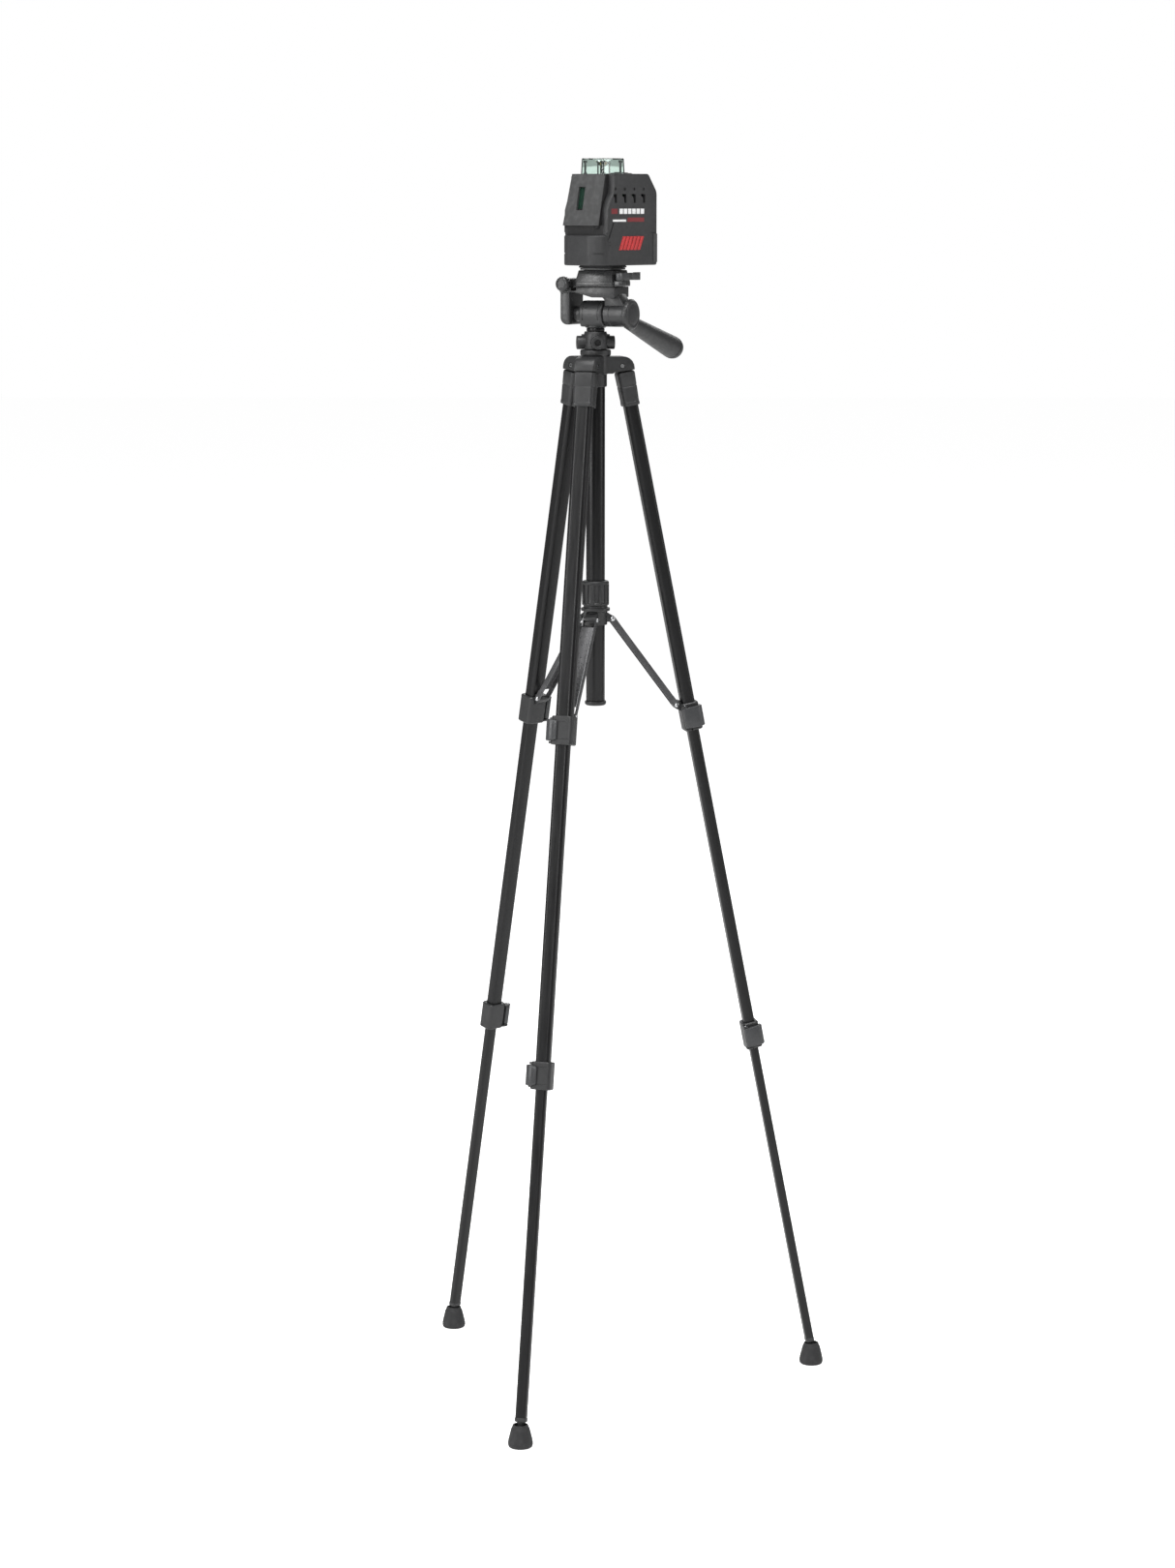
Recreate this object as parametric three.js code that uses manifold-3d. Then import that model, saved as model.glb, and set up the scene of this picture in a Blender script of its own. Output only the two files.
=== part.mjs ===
// A cross-line laser level on a light three-section camera tripod. Millimetres, +Z up.
// The right-hand leg points along +X (turned by LEG_TURN), the operator's side is +Y.
import * as THREE from 'three';
import Module from 'manifold-3d';
import { mergeVertices } from 'three/addons/utils/BufferGeometryUtils.js';

const wasm = await Module();
wasm.setup();

// ---------------------------------------------------------------- driving dimensions
const GAP = 0.3;
const ROUND = 24;
const SMALL_ROUND = 10;

// legs
const LEG_TURN = 11.4;
const LEG_NAMES = ['right', 'left', 'front'];
const SPREAD = 11.2;
const HINGE_RADIUS = 26.5;
const HINGE_HEIGHT = 1106;
const HINGE_PIN_RADIUS = 2;
const TUBE_OFFSET = 2.8;
const UPPER_TUBE = { width: 18, depth: 14.5, corner: 4.5, wall: 1, top: 13.5, bottom: 380 };
const MIDDLE_TUBE = { width: 15.4, depth: 11.9, corner: 3.8, wall: 1, top: 352, bottom: 740 };
const LOWER_TUBE = { width: 12, depth: 9.2, corner: 3, wall: 0.9, top: 716, bottom: 1097 };
const UPPER_CLAMP = { width: 24, depth: 19.5, height: 30, at: 382.2 };
const LOWER_CLAMP = { width: 22, depth: 17.6, height: 29, at: 742.1 };
const LEVER_HINGE_X = -4;
const LEVER_OUT = 3.4;
const FOOT_TOP_RADIUS = 8.4;
const FOOT_BOTTOM_RADIUS = 13;
const FOOT_HEIGHT = 24;
const BALL_RADIUS = 6.3;
const BALL_HEIGHT = 17;
const LEAN = (SPREAD * Math.PI) / 180;
const FOOT_CENTRE = (HINGE_HEIGHT - BALL_HEIGHT + TUBE_OFFSET * Math.sin(LEAN)) / Math.cos(LEAN);

// centre tubes
const OUTER_TUBE = { outer: 10, inner: 8.5, top: 1099.6, bottom: 750.4 };
const COLUMN_TUBE = { outer: 8.2, inner: 7.2, bottom: 772 };
const HUB_TOP = 1142;
const LOCK_NUT_TURN = -83;
const LOCK_NUT_HEIGHT = 1130.5;
const LOCK_NUT_LOBES = 4;

// braces
const COLLAR_PIVOT = { radius: 17, height: 838.5 };
const LEG_PIVOT = { x: -10.75, z: -366.9 };
const LUG_HALF_WIDTH = 6.4;
const BRACE_HALF_WIDTH = 8;
const BRACE_SHEET = 1.1;

// pan head; u runs along the tilt axis, v towards the operator
const TILT_AXIS_TURN = -28;
const TILT_HEIGHT = 1160;
const FLIP_AXIS = { u: -27, z: 1191.5 };
const SCREW_U = 8.5;
const HANDLE_U = 28;
const HANDLE_DROP = 16.5;
const HANDLE_LENGTH = 139;

// laser level; x forward, y towards the labelled side, z up from its base
const LASER_TURN = 225;
const LASER_BASE = 1211.1;
const LASER_TOP = 94.5;
const LASER_HALF_WIDTH = 31;
const LASER_FRONT = 38;
const LASER_BACK = -54;
const GIMBAL_HEIGHT = 84;
const WINDOW_HEIGHT = 69;

const degrees = (a) => (a * Math.PI) / 180;

// The whole tripod is moved so that the middle of its footprint is at the origin.
const footReach = HINGE_RADIUS + TUBE_OFFSET * Math.cos(LEAN) + FOOT_CENTRE * Math.sin(LEAN);
const footX = (turn) => footReach * Math.cos(degrees(turn));
const footY = (turn) => footReach * Math.sin(degrees(turn));
const CENTRE_X = -(footX(LEG_TURN) + footX(LEG_TURN + 120)) / 2;
const CENTRE_Y = -(footY(LEG_TURN + 120) + footY(LEG_TURN + 240)) / 2;

// ---------------------------------------------------------------- solids
function toSolid(geometry) {
  const bare = geometry.clone();
  bare.deleteAttribute('normal');
  bare.deleteAttribute('uv');
  const merged = mergeVertices(bare, 1e-4);
  const corners = merged.index.array;
  const triangles = [];
  for (let i = 0; i < corners.length; i += 3) {
    const [a, b, c] = [corners[i], corners[i + 1], corners[i + 2]];
    if (a !== b && b !== c && a !== c) {
      triangles.push(a, b, c);
    }
  }
  const build = (list) =>
    new wasm.Manifold(
      new wasm.Mesh({
        numProp: 3,
        vertProperties: new Float32Array(merged.attributes.position.array),
        triVerts: new Uint32Array(list),
      }),
    );
  const solid = build(triangles);
  return solid.volume() > 0 ? solid : build(triangles.reverse());
}

function toGeometry(solid) {
  const mesh = solid.getMesh();
  const geometry = new THREE.BufferGeometry();
  geometry.setAttribute('position', new THREE.BufferAttribute(mesh.vertProperties, 3));
  geometry.setIndex(new THREE.BufferAttribute(mesh.triVerts, 1));
  return geometry;
}

const join = (first, ...others) => others.reduce((sum, part) => sum.add(part), first);
const cut = (first, ...others) => others.reduce((rest, part) => rest.subtract(part), first);
const common = (first, ...others) => others.reduce((rest, part) => rest.intersect(part), first);

function placed(solid, matrix) {
  const geometry = toGeometry(solid);
  geometry.applyMatrix4(matrix);
  return toSolid(geometry);
}

const turnX = (angle) => new THREE.Matrix4().makeRotationX(degrees(angle));
const turnY = (angle) => new THREE.Matrix4().makeRotationY(degrees(angle));
const turnZ = (angle) => new THREE.Matrix4().makeRotationZ(degrees(angle));
const shift = (x, y, z) => new THREE.Matrix4().makeTranslation(x, y, z);
const chain = (...steps) => steps.reduce((all, step) => all.multiply(step), new THREE.Matrix4());

function block(x0, x1, y0, y1, z0, z1) {
  const geometry = new THREE.BoxGeometry(x1 - x0, y1 - y0, z1 - z0);
  geometry.translate((x0 + x1) / 2, (y0 + y1) / 2, (z0 + z1) / 2);
  return toSolid(geometry);
}

// a prism standing on z0, from an outline in X and Y
function prismZ(shape, z0, z1, arcSteps = 3) {
  const geometry = new THREE.ExtrudeGeometry(shape, {
    depth: z1 - z0,
    bevelEnabled: false,
    curveSegments: arcSteps,
  });
  geometry.translate(0, 0, z0);
  return toSolid(geometry);
}

// a prism along Y, from an outline in X and Z
function prismY(shape, y0, y1, arcSteps = 3) {
  const matrix = chain(shift(0, y1, 0), turnX(90));
  return placed(prismZ(shape, 0, y1 - y0, arcSteps), matrix);
}

// a prism along X, from an outline in Y and Z
function prismX(shape, x0, x1, arcSteps = 3) {
  const matrix = chain(shift(x0, 0, 0), turnZ(90), turnX(90));
  return placed(prismZ(shape, 0, x1 - x0, arcSteps), matrix);
}

function polygon(points) {
  return new THREE.Shape(points.map(([a, b]) => new THREE.Vector2(a, b)));
}

function roundedRectangle(width, height, corner) {
  const [w, h] = [width / 2, height / 2];
  const shape = new THREE.Shape();
  shape.moveTo(-w + corner, -h);
  shape.lineTo(w - corner, -h);
  shape.absarc(w - corner, -h + corner, corner, -Math.PI / 2, 0);
  shape.lineTo(w, h - corner);
  shape.absarc(w - corner, h - corner, corner, 0, Math.PI / 2);
  shape.lineTo(-w + corner, h);
  shape.absarc(-w + corner, h - corner, corner, Math.PI / 2, Math.PI);
  shape.lineTo(-w, -h + corner);
  shape.absarc(-w + corner, -h + corner, corner, Math.PI, 1.5 * Math.PI);
  return shape;
}

function disc(x, z, radius) {
  const shape = new THREE.Shape();
  shape.absarc(x, z, radius, 0, 2 * Math.PI);
  return shape;
}

function cylinderZ(radius, z0, z1, steps = ROUND) {
  const geometry = new THREE.CylinderGeometry(radius, radius, z1 - z0, steps);
  geometry.rotateX(Math.PI / 2);
  geometry.translate(0, 0, (z0 + z1) / 2);
  return toSolid(geometry);
}

function cylinderY(x, z, radius, y0, y1, steps = SMALL_ROUND) {
  const geometry = new THREE.CylinderGeometry(radius, radius, y1 - y0, steps);
  geometry.translate(x, (y0 + y1) / 2, z);
  return toSolid(geometry);
}

function cylinderX(y, z, radius, x0, x1, steps = SMALL_ROUND) {
  const geometry = new THREE.CylinderGeometry(radius, radius, x1 - x0, steps);
  geometry.rotateZ(Math.PI / 2);
  geometry.translate((x0 + x1) / 2, y, z);
  return toSolid(geometry);
}

// a body turned about Z, from [radius, height] pairs
function turned(profile, steps = ROUND) {
  const geometry = new THREE.LatheGeometry(
    profile.map(([r, z]) => new THREE.Vector2(r, z)),
    steps,
  );
  geometry.rotateX(Math.PI / 2);
  return toSolid(geometry);
}

// ---------------------------------------------------------------- materials
const material = (color, roughness, metalness, extra = {}) =>
  new THREE.MeshStandardMaterial({ color, roughness, metalness, ...extra });
const castPlastic = material(0x2b2c2e, 0.55, 0);
const glossPlastic = material(0x1d1e20, 0.35, 0);
const anodised = material(0x1a1b1d, 0.35, 0.9);
const softRubber = material(0x232427, 0.85, 0);
const plainSteel = material(0xb8bbc0, 0.3, 1);
const laserPlastic = material(0x2c2d30, 0.6, 0);
const clearGlass = material(0xdfe9e6, 0.05, 0, { transparent: true, opacity: 0.35 });
const greenGlass = material(0x3f7f5c, 0.08, 0, { transparent: true, opacity: 0.5 });
const mirrorMetal = material(0xd8dade, 0.05, 1);
const brassMetal = material(0xb08d45, 0.35, 1);
const boardGreen = material(0x1f5a3a, 0.6, 0);
const batteryWrap = material(0x35424f, 0.5, 0);

const group = new THREE.Group();
group.name = 'laser_level_on_tripod';

function add(name, solid, look, matrix = new THREE.Matrix4()) {
  const geometry = toGeometry(solid);
  geometry.applyMatrix4(chain(shift(CENTRE_X, CENTRE_Y, 0), matrix));
  geometry.computeVertexNormals();
  const mesh = new THREE.Mesh(geometry, look);
  mesh.name = name;
  group.add(mesh);
}

// ---------------------------------------------------------------- tripod centre
// one clevis arm of the hub, along +X: a hood over the leg's tongue, with the hinge pin across it
function hubArm() {
  const hood = new THREE.Shape();
  hood.moveTo(0, 1098);
  hood.lineTo(16, 1098);
  hood.lineTo(19.5, 1099.6);
  hood.lineTo(40.2, 1102.4);
  hood.absarc(28.2, 1103.7, 12, 0, Math.PI / 2);
  hood.lineTo(0, 1116);
  const slot = polygon([
    [18, 1090],
    [36, 1090],
    [36, 1107],
    [32, 1113],
    [20, 1113],
    [18, 1111],
  ]);
  const pin = cylinderY(HINGE_RADIUS, HINGE_HEIGHT, HINGE_PIN_RADIUS, -8, 8);
  return join(cut(prismY(hood, -12, 12, 4), prismY(slot, -6, 6)), pin);
}

function hub() {
  const barrel = turned([
    [0, 1084],
    [12, 1084],
    [12, 1097],
    [15, 1099],
    [15, 1116],
    [16.2, 1118],
    [16.2, 1122],
    [15, 1123],
    [10.5, 1123],
    [10.5, 1137],
    [0, 1137],
  ]);
  const arms = LEG_NAMES.map((_, i) => placed(hubArm(), turnZ(LEG_TURN + 120 * i)));
  return cut(
    join(barrel, ...arms),
    cylinderZ(8.6, 1080, 1150),
    cylinderZ(OUTER_TUBE.outer + GAP, 1080, 1100),
  );
}

// the twist nut that squeezes the hub's sleeve onto the column, with round grip lobes
function columnLockNut() {
  const body = turned([
    [0, 1123.4],
    [13, 1123.4],
    [13, 1138],
    [11.5, HUB_TOP],
    [0, HUB_TOP],
  ]);
  const lobes = [];
  const hollows = [];
  for (let i = 0; i < LOCK_NUT_LOBES; i += 1) {
    const turn = turnZ(LOCK_NUT_TURN + (360 * i) / LOCK_NUT_LOBES);
    lobes.push(placed(cylinderX(0, LOCK_NUT_HEIGHT, 6.4, 8, 20, 16), turn));
    hollows.push(placed(cylinderX(0, LOCK_NUT_HEIGHT, 2.4, 15, 21, 8), turn));
  }
  return cut(
    join(body, ...lobes),
    ...hollows,
    cylinderZ(8.8, 1120, 1150),
    cylinderZ(10.5 + GAP, 1120, 1137.4),
  );
}

function centreColumn() {
  const { outer, inner, bottom } = COLUMN_TUBE;
  return turned([
    [0, 1153],
    [5, 1153],
    [5, 1145.5],
    [9.5, 1145.5],
    [9.5, HUB_TOP + GAP],
    [outer, HUB_TOP + GAP],
    [outer, bottom],
    [inner, bottom],
    [inner, 1139],
    [0, 1139],
  ]);
}

function tubeEndCap() {
  return turned([
    [0, 745.5],
    [10.5, 745.5],
    [11.4, 746.5],
    [11.4, 750.1],
    [8.2, 750.1],
    [8.2, 762],
    [0, 762],
  ]);
}

// the collar the three braces hang from; it slides on the outer tube
function braceCollar() {
  const body = turned([
    [10.3, 832],
    [12.5, 832],
    [12.5, 846],
    [15.4, 847],
    [15.4, 850],
    [12.8, 850],
    [12.8, 852.5],
    [14.2, 853.5],
    [14.2, 877.5],
    [13, 879],
    [10.3, 879],
    [10.3, 832],
  ]);
  const { radius, height } = COLLAR_PIVOT;
  const lug = join(
    prismY(disc(radius, height, 3.5), -LUG_HALF_WIDTH, LUG_HALF_WIDTH, 10),
    block(10.8, radius, -LUG_HALF_WIDTH, LUG_HALF_WIDTH, height - 3.5, height + 3.5),
  );
  const lugs = LEG_NAMES.map((_, i) => placed(lug, turnZ(LEG_TURN + 120 * i)));
  return join(body, ...lugs);
}

// ---------------------------------------------------------------- one leg
// In a leg's own frame the hinge pin is the origin, +X points outwards and -Z down the leg.
const legFrame = (i) =>
  chain(turnZ(LEG_TURN + 120 * i), shift(HINGE_RADIUS, 0, HINGE_HEIGHT), turnY(-SPREAD));

const section = ({ depth, width, corner }, margin = 0) =>
  roundedRectangle(depth + 2 * margin, width + 2 * margin, corner + margin);

function legTube(tube) {
  const outside = prismZ(section(tube), -tube.bottom, -tube.top);
  const inside = prismZ(section(tube, -tube.wall), -tube.bottom - 1, -tube.top + 1);
  return placed(cut(outside, inside), shift(TUBE_OFFSET, 0, 0));
}

function legCasting() {
  const side = polygon([
    [-6.9, -7],
    [12.9, -7],
    [12.6, -21],
    [12.1, -21.6],
    [12.1, -22.4],
    [12.5, -23],
    [11.2, -43],
    [-5.6, -43],
  ]);
  const front = polygon([
    [-12.1, -7],
    [12.1, -7],
    [11.4, -43],
    [-11.4, -43],
  ]);
  const column = placed(
    prismZ(roundedRectangle(20, 24.4, 4), -44, -6),
    shift(TUBE_OFFSET + 0.1, 0, 0),
  );
  const shell = common(prismY(side, -13, 13), prismX(front, -10, 15), column);
  const tongue = join(
    prismY(disc(0, 0, 6), -5.5, 5.5, 12),
    block(-5, 5.4, -5.5, 5.5, -9, 0),
  );
  const socket = placed(prismZ(section(UPPER_TUBE, GAP), -50, -13.2), shift(TUBE_OFFSET, 0, 0));
  return cut(join(shell, tongue), socket, cylinderY(0, 0, HINGE_PIN_RADIUS + GAP, -7, 7));
}

// a collar fixed on one tube's end, that grips the next tube with a side lever
function clampCollar(clamp, outerTube, innerTube, braceLug) {
  const { width, depth, height, at } = clamp;
  const top = -at + height / 2;
  const bottom = -at - height / 2;
  const ring = roundedRectangle(depth, width, 4);
  let collar = placed(prismZ(ring, bottom, top), shift(TUBE_OFFSET, 0, 0));
  const ear = (z0, z1) =>
    join(
      placed(cylinderZ(3.1, z0, z1, 8), shift(LEVER_HINGE_X, -width / 2 - LEVER_OUT, 0)),
      block(
        LEVER_HINGE_X - 3.1,
        LEVER_HINGE_X + 3.1,
        -width / 2 - LEVER_OUT,
        -width / 2 + 2,
        z0,
        z1,
      ),
    );
  collar = join(collar, ear(top - 3.4, top - 1.4), ear(bottom + 1.4, bottom + 3.4));
  if (braceLug) {
    const { x, z } = LEG_PIVOT;
    collar = join(
      collar,
      prismY(disc(x, z, 3.5), -LUG_HALF_WIDTH, LUG_HALF_WIDTH, 10),
      block(x - 3, TUBE_OFFSET - depth / 2 + 1, -LUG_HALF_WIDTH, LUG_HALF_WIDTH, z - 7, z),
    );
    collar = cut(collar, cylinderY(x, z, 2, -10, 10));
  }
  const seat = prismZ(section(outerTube, GAP), -outerTube.bottom - GAP, top + 5);
  const grip = prismZ(section(innerTube, GAP), bottom - 5, top + 5);
  const leverPin = placed(
    cylinderZ(1.5, bottom - 5, top + 5, 8),
    shift(LEVER_HINGE_X, -width / 2 - LEVER_OUT, 0),
  );
  return cut(
    collar,
    placed(seat, shift(TUBE_OFFSET, 0, 0)),
    placed(grip, shift(TUBE_OFFSET, 0, 0)),
    leverPin,
  );
}

// the flip lever: it turns on a pin along the leg and wraps round the collar's outer corner
function clampLever({ width, depth, height, at }) {
  const top = -at + height / 2 - 3.7;
  const bottom = -at - height / 2 + 3.7;
  const side = -width / 2 - GAP;
  const outer = TUBE_OFFSET + depth / 2 + GAP;
  const plan = polygon([
    [LEVER_HINGE_X - 2, side - 0.6],
    [LEVER_HINGE_X + 3, side],
    [outer - 4.2, side],
    [outer - 1.2, side + 1.2],
    [outer, side + 4.2],
    [outer + 0.2, side + 8],
    [outer + 2, side + 8],
    [outer + 2.4, side + 2],
    [outer - 0.5, side - 3.4],
    [outer - 4, side - 5.2],
    [LEVER_HINGE_X, side - 6.1],
    [LEVER_HINGE_X - 2.7, side - 4.6],
  ]);
  const pin = placed(
    cylinderZ(1.2, bottom - 2, top + 2, 8),
    shift(LEVER_HINGE_X, -width / 2 - LEVER_OUT, 0),
  );
  return join(prismZ(plan, bottom, top), pin);
}

// the lowest tube with the plug pressed into its end, which ends in the foot's ball
function lowerTube() {
  const plug = placed(
    prismZ(roundedRectangle(10.4, 13.4, 3.2), -LOWER_TUBE.bottom - 4, -LOWER_TUBE.bottom + 2),
    shift(TUBE_OFFSET, 0, 0),
  );
  const neck = placed(
    cylinderZ(3.6, -FOOT_CENTRE, -LOWER_TUBE.bottom, 12),
    shift(TUBE_OFFSET, 0, 0),
  );
  const ballGeometry = new THREE.SphereGeometry(BALL_RADIUS, 12, 8);
  ballGeometry.rotateX(Math.PI / 2);
  ballGeometry.translate(TUBE_OFFSET, 0, -FOOT_CENTRE);
  return join(legTube(LOWER_TUBE), plug, neck, toSolid(ballGeometry));
}

// the rubber foot stands upright on the floor whatever the leg's angle
function foot() {
  const body = turned([
    [0, 0],
    [FOOT_BOTTOM_RADIUS - 1.5, 0],
    [FOOT_BOTTOM_RADIUS, 1.5],
    [FOOT_BOTTOM_RADIUS, 5],
    [11.8, 11],
    [9.4, 19],
    [FOOT_TOP_RADIUS, 22.6],
    [FOOT_TOP_RADIUS - 1, FOOT_HEIGHT],
    [0, FOOT_HEIGHT],
  ], 18);
  const cup = new THREE.SphereGeometry(BALL_RADIUS + 2 * GAP, 12, 8);
  cup.rotateX(Math.PI / 2);
  cup.translate(0, 0, BALL_HEIGHT);
  const mouth = turned([
    [0, BALL_HEIGHT + 1],
    [5.6, BALL_HEIGHT + 1],
    [6.2, FOOT_HEIGHT + 1],
    [0, FOOT_HEIGHT + 1],
  ], 18);
  return cut(body, toSolid(cup), mouth);
}

// a strut of folded sheet: two flanges with round ends, joined by a web on its outer side
function brace() {
  const rise = new THREE.Vector2(
    COLLAR_PIVOT.radius - legPivotWorld().x,
    COLLAR_PIVOT.height - legPivotWorld().y,
  );
  const length = rise.length();
  const ear = new THREE.Shape();
  ear.moveTo(-3.2, 0);
  ear.absarc(0, 0, 3.2, Math.PI, 2 * Math.PI);
  ear.lineTo(3.2, length);
  ear.absarc(0, length, 3.2, 0, Math.PI);
  const inner = BRACE_HALF_WIDTH - BRACE_SHEET;
  const flange = (side) =>
    side > 0 ? prismY(ear, inner, BRACE_HALF_WIDTH, 4) : prismY(ear, -BRACE_HALF_WIDTH, -inner, 4);
  const web = block(3.2 - BRACE_SHEET, 3.2, -BRACE_HALF_WIDTH, BRACE_HALF_WIDTH, 11, length - 11);
  const pin = cylinderY(0, 0, 1.7, -BRACE_HALF_WIDTH - 0.5, BRACE_HALF_WIDTH + 0.5);
  const head = (z, side) =>
    cylinderY(0, z, 2.5, side > 0 ? 7.9 : -9, side > 0 ? 9 : -7.9, 8);
  return join(
    flange(1),
    flange(-1),
    web,
    pin,
    head(0, 1),
    head(0, -1),
    head(length, 1),
    head(length, -1),
  );
}

// the brace's lower pivot in the leg's upright plane: x outwards from the column, y up
function legPivotWorld() {
  const point = new THREE.Vector3(LEG_PIVOT.x, 0, LEG_PIVOT.z);
  point.applyMatrix4(turnY(-SPREAD));
  return new THREE.Vector2(point.x + HINGE_RADIUS, point.z + HINGE_HEIGHT);
}

function braceFrame(i) {
  const low = legPivotWorld();
  const lean = (Math.atan2(COLLAR_PIVOT.radius - low.x, COLLAR_PIVOT.height - low.y) * 180) / Math.PI;
  return chain(turnZ(LEG_TURN + 120 * i), shift(low.x, 0, low.y), turnY(lean));
}

function footFrame(i) {
  const point = new THREE.Vector3(TUBE_OFFSET, 0, -FOOT_CENTRE).applyMatrix4(legFrame(i));
  return shift(point.x, point.y, point.z - BALL_HEIGHT);
}

// ---------------------------------------------------------------- pan head
const headFrame = turnZ(TILT_AXIS_TURN);

function panBase() {
  const cheek = new THREE.Shape();
  cheek.moveTo(-9.5, 1147);
  cheek.lineTo(9.5, 1147);
  cheek.lineTo(13.5, 1153);
  cheek.absarc(0, TILT_HEIGHT, 14.5, 0, Math.PI);
  cheek.lineTo(-13.5, 1153);
  return cut(
    join(
      prismX(cheek, -13, 14, 12),
      cylinderZ(11, 1145.9, 1152, 24),
      cylinderX(0, TILT_HEIGHT, 8, -21.9, 34, 24),
      cylinderX(0, TILT_HEIGHT, 4, -32, -20),
    ),
    cylinderZ(5.3, 1140, 1153.3, 20),
  );
}

const handleFrame = chain(shift(HANDLE_U, 0, TILT_HEIGHT - 2), turnX(-90 - HANDLE_DROP));

function tiltBracket() {
  const arm = new THREE.Shape();
  arm.moveTo(-22.5, 1151);
  arm.absarc(-24.5, 1151, 2, 0, -Math.PI / 2, true);
  arm.lineTo(-26.6, 1149);
  arm.absarc(-26.6, 1156.6, 7.6, -Math.PI / 2, -Math.PI, true);
  arm.lineTo(-34.2, 1188);
  arm.lineTo(-22.5, 1188);
  const neck = polygon([
    [6, 1182],
    [14.6, 1175.4],
    [14.6, 1158],
    [38.4, 1158],
    [38.4, 1170],
    [31, 1182],
  ]);
  const ear = (v0, v1) =>
    join(
      prismY(disc(FLIP_AXIS.u, FLIP_AXIS.z, 6.3), v0, v1, 14),
      block(FLIP_AXIS.u - 6.3, FLIP_AXIS.u + 6.3, v0, v1, 1184, FLIP_AXIS.z),
    );
  const outline = placed(prismZ(roundedRectangle(65.2, 33, 4), 1170, 1190), shift(-1.6, 0, 0));
  const profile = polygon([
    [-34.2, 1183],
    [-32, 1181],
    [-22, 1183.4],
    [-16, 1182.8],
    [4, 1177.6],
    [31, 1177.6],
    [31, 1188.9],
    [-14.6, 1188.9],
    [-14.6, 1184.6],
    [-34.2, 1184.6],
  ]);
  const web = common(outline, prismY(profile, -17, 17));
  return cut(
    join(
      prismY(arm, -15.6, 15.6),
      web,
      prismY(neck, -9, 9),
      cylinderX(0, TILT_HEIGHT, 13, 14.6, 38.4, ROUND),
      ear(-16.5, -12.3),
      ear(12.3, 16.5),
    ),
    block(-40, -15, -12.3, 12.3, 1184.6, 1200),
    cylinderX(0, TILT_HEIGHT, 8.3, 14, 45, 24),
    cylinderX(0, TILT_HEIGHT, 4.3, -33, -20),
    cylinderY(FLIP_AXIS.u, FLIP_AXIS.z, 2.8, -20, 20),
    placed(cylinderZ(4.3, 5, 20, 16), handleFrame),
  );
}

function tiltCap() {
  return placed(
    turned([
      [0, 34.4],
      [8, 34.4],
      [8, 38.7],
      [15.2, 38.7],
      [16, 39.6],
      [16, 43],
      [14, 45],
      [0, 45.6],
    ]),
    chain(shift(0, 0, TILT_HEIGHT), turnY(90)),
  );
}

function handleRod() {
  return cylinderZ(4, 9.4, 54, 16);
}

function handleGrip() {
  const outside = turned([
    [0, 16.5],
    [7.2, 16.5],
    [7.8, 20],
    [9.4, 60],
    [12.3, 127],
    [11.7, 133],
    [8.6, HANDLE_LENGTH - 2],
    [4, HANDLE_LENGTH - 0.4],
    [0, HANDLE_LENGTH],
  ], 24);
  return cut(outside, cylinderZ(4.3, 10, 54.3, 16));
}

function platform() {
  const base = block(-14, 31, -21.5, 21.5, 1189.2, 1193.5);
  const sideways = polygon([
    [-13.4, 1193],
    [30.4, 1193],
    [28, 1206],
    [-11, 1206],
  ]);
  const foreAft = polygon([
    [-21, 1193],
    [21, 1193],
    [17.8, 1206],
    [-17.8, 1206],
  ]);
  const top = common(prismY(sideways, -22, 22), prismX(foreAft, -20, 35));
  const hinge = join(
    prismY(disc(FLIP_AXIS.u, FLIP_AXIS.z, 6.1), -11.9, 11.9, 14),
    block(FLIP_AXIS.u, -13, -11.9, 11.9, 1189.2, FLIP_AXIS.z + 6),
  );
  const shelf = join(
    block(30, 40.5, -18, -8, 1189.2, 1195.4),
    placed(cylinderZ(2, 1195, 1203.6, 12), shift(36, -13, 0)),
  );
  const pocket = block(SCREW_U - 15, SCREW_U + 15, -15.5, 15.5, 1196, 1210);
  return cut(
    join(base, top, hinge, shelf),
    pocket,
    cylinderY(FLIP_AXIS.u, FLIP_AXIS.z, 2.8, -20, 20),
  );
}

function flipKnob() {
  const knob = placed(
    turned([
      [0, -16.6],
      [2.5, -16.6],
      [2.5, 17],
      [6.6, 17],
      [7.7, 18.2],
      [7.7, 24],
      [6.2, 26],
      [0, 26.5],
    ], 18),
    chain(shift(FLIP_AXIS.u, 0, FLIP_AXIS.z), turnX(90)),
  );
  return knob;
}

function quickReleasePlate() {
  const wedge = block(SCREW_U - 14.6, SCREW_U + 14.6, -15.1, 15.1, 1199.4, 1207);
  const flange = block(SCREW_U - 18, SCREW_U + 18, -18.5, 18.5, 1206.4, 1208.4);
  return cut(join(wedge, flange), placed(cylinderZ(3.4, 1190, 1215, 16), shift(SCREW_U, 0, 0)));
}

function rubberPad() {
  const pad = placed(
    prismZ(roundedRectangle(38, 39, 2.5), 1208.7, 1210.8),
    shift(SCREW_U, 0, 0),
  );
  return cut(pad, placed(cylinderZ(3.4, 1190, 1215, 16), shift(SCREW_U, 0, 0)));
}

function cameraScrew() {
  const body = turned([
    [0, 1196.6],
    [8, 1196.6],
    [8, 1199],
    [3.1, 1199],
    [3.1, 1218],
    [2.4, 1219],
    [0, 1219],
  ], 20);
  return placed(cut(body, block(-5, 5, -0.8, 0.8, 1190, 1197.8)), shift(SCREW_U, 0, 0));
}

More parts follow.
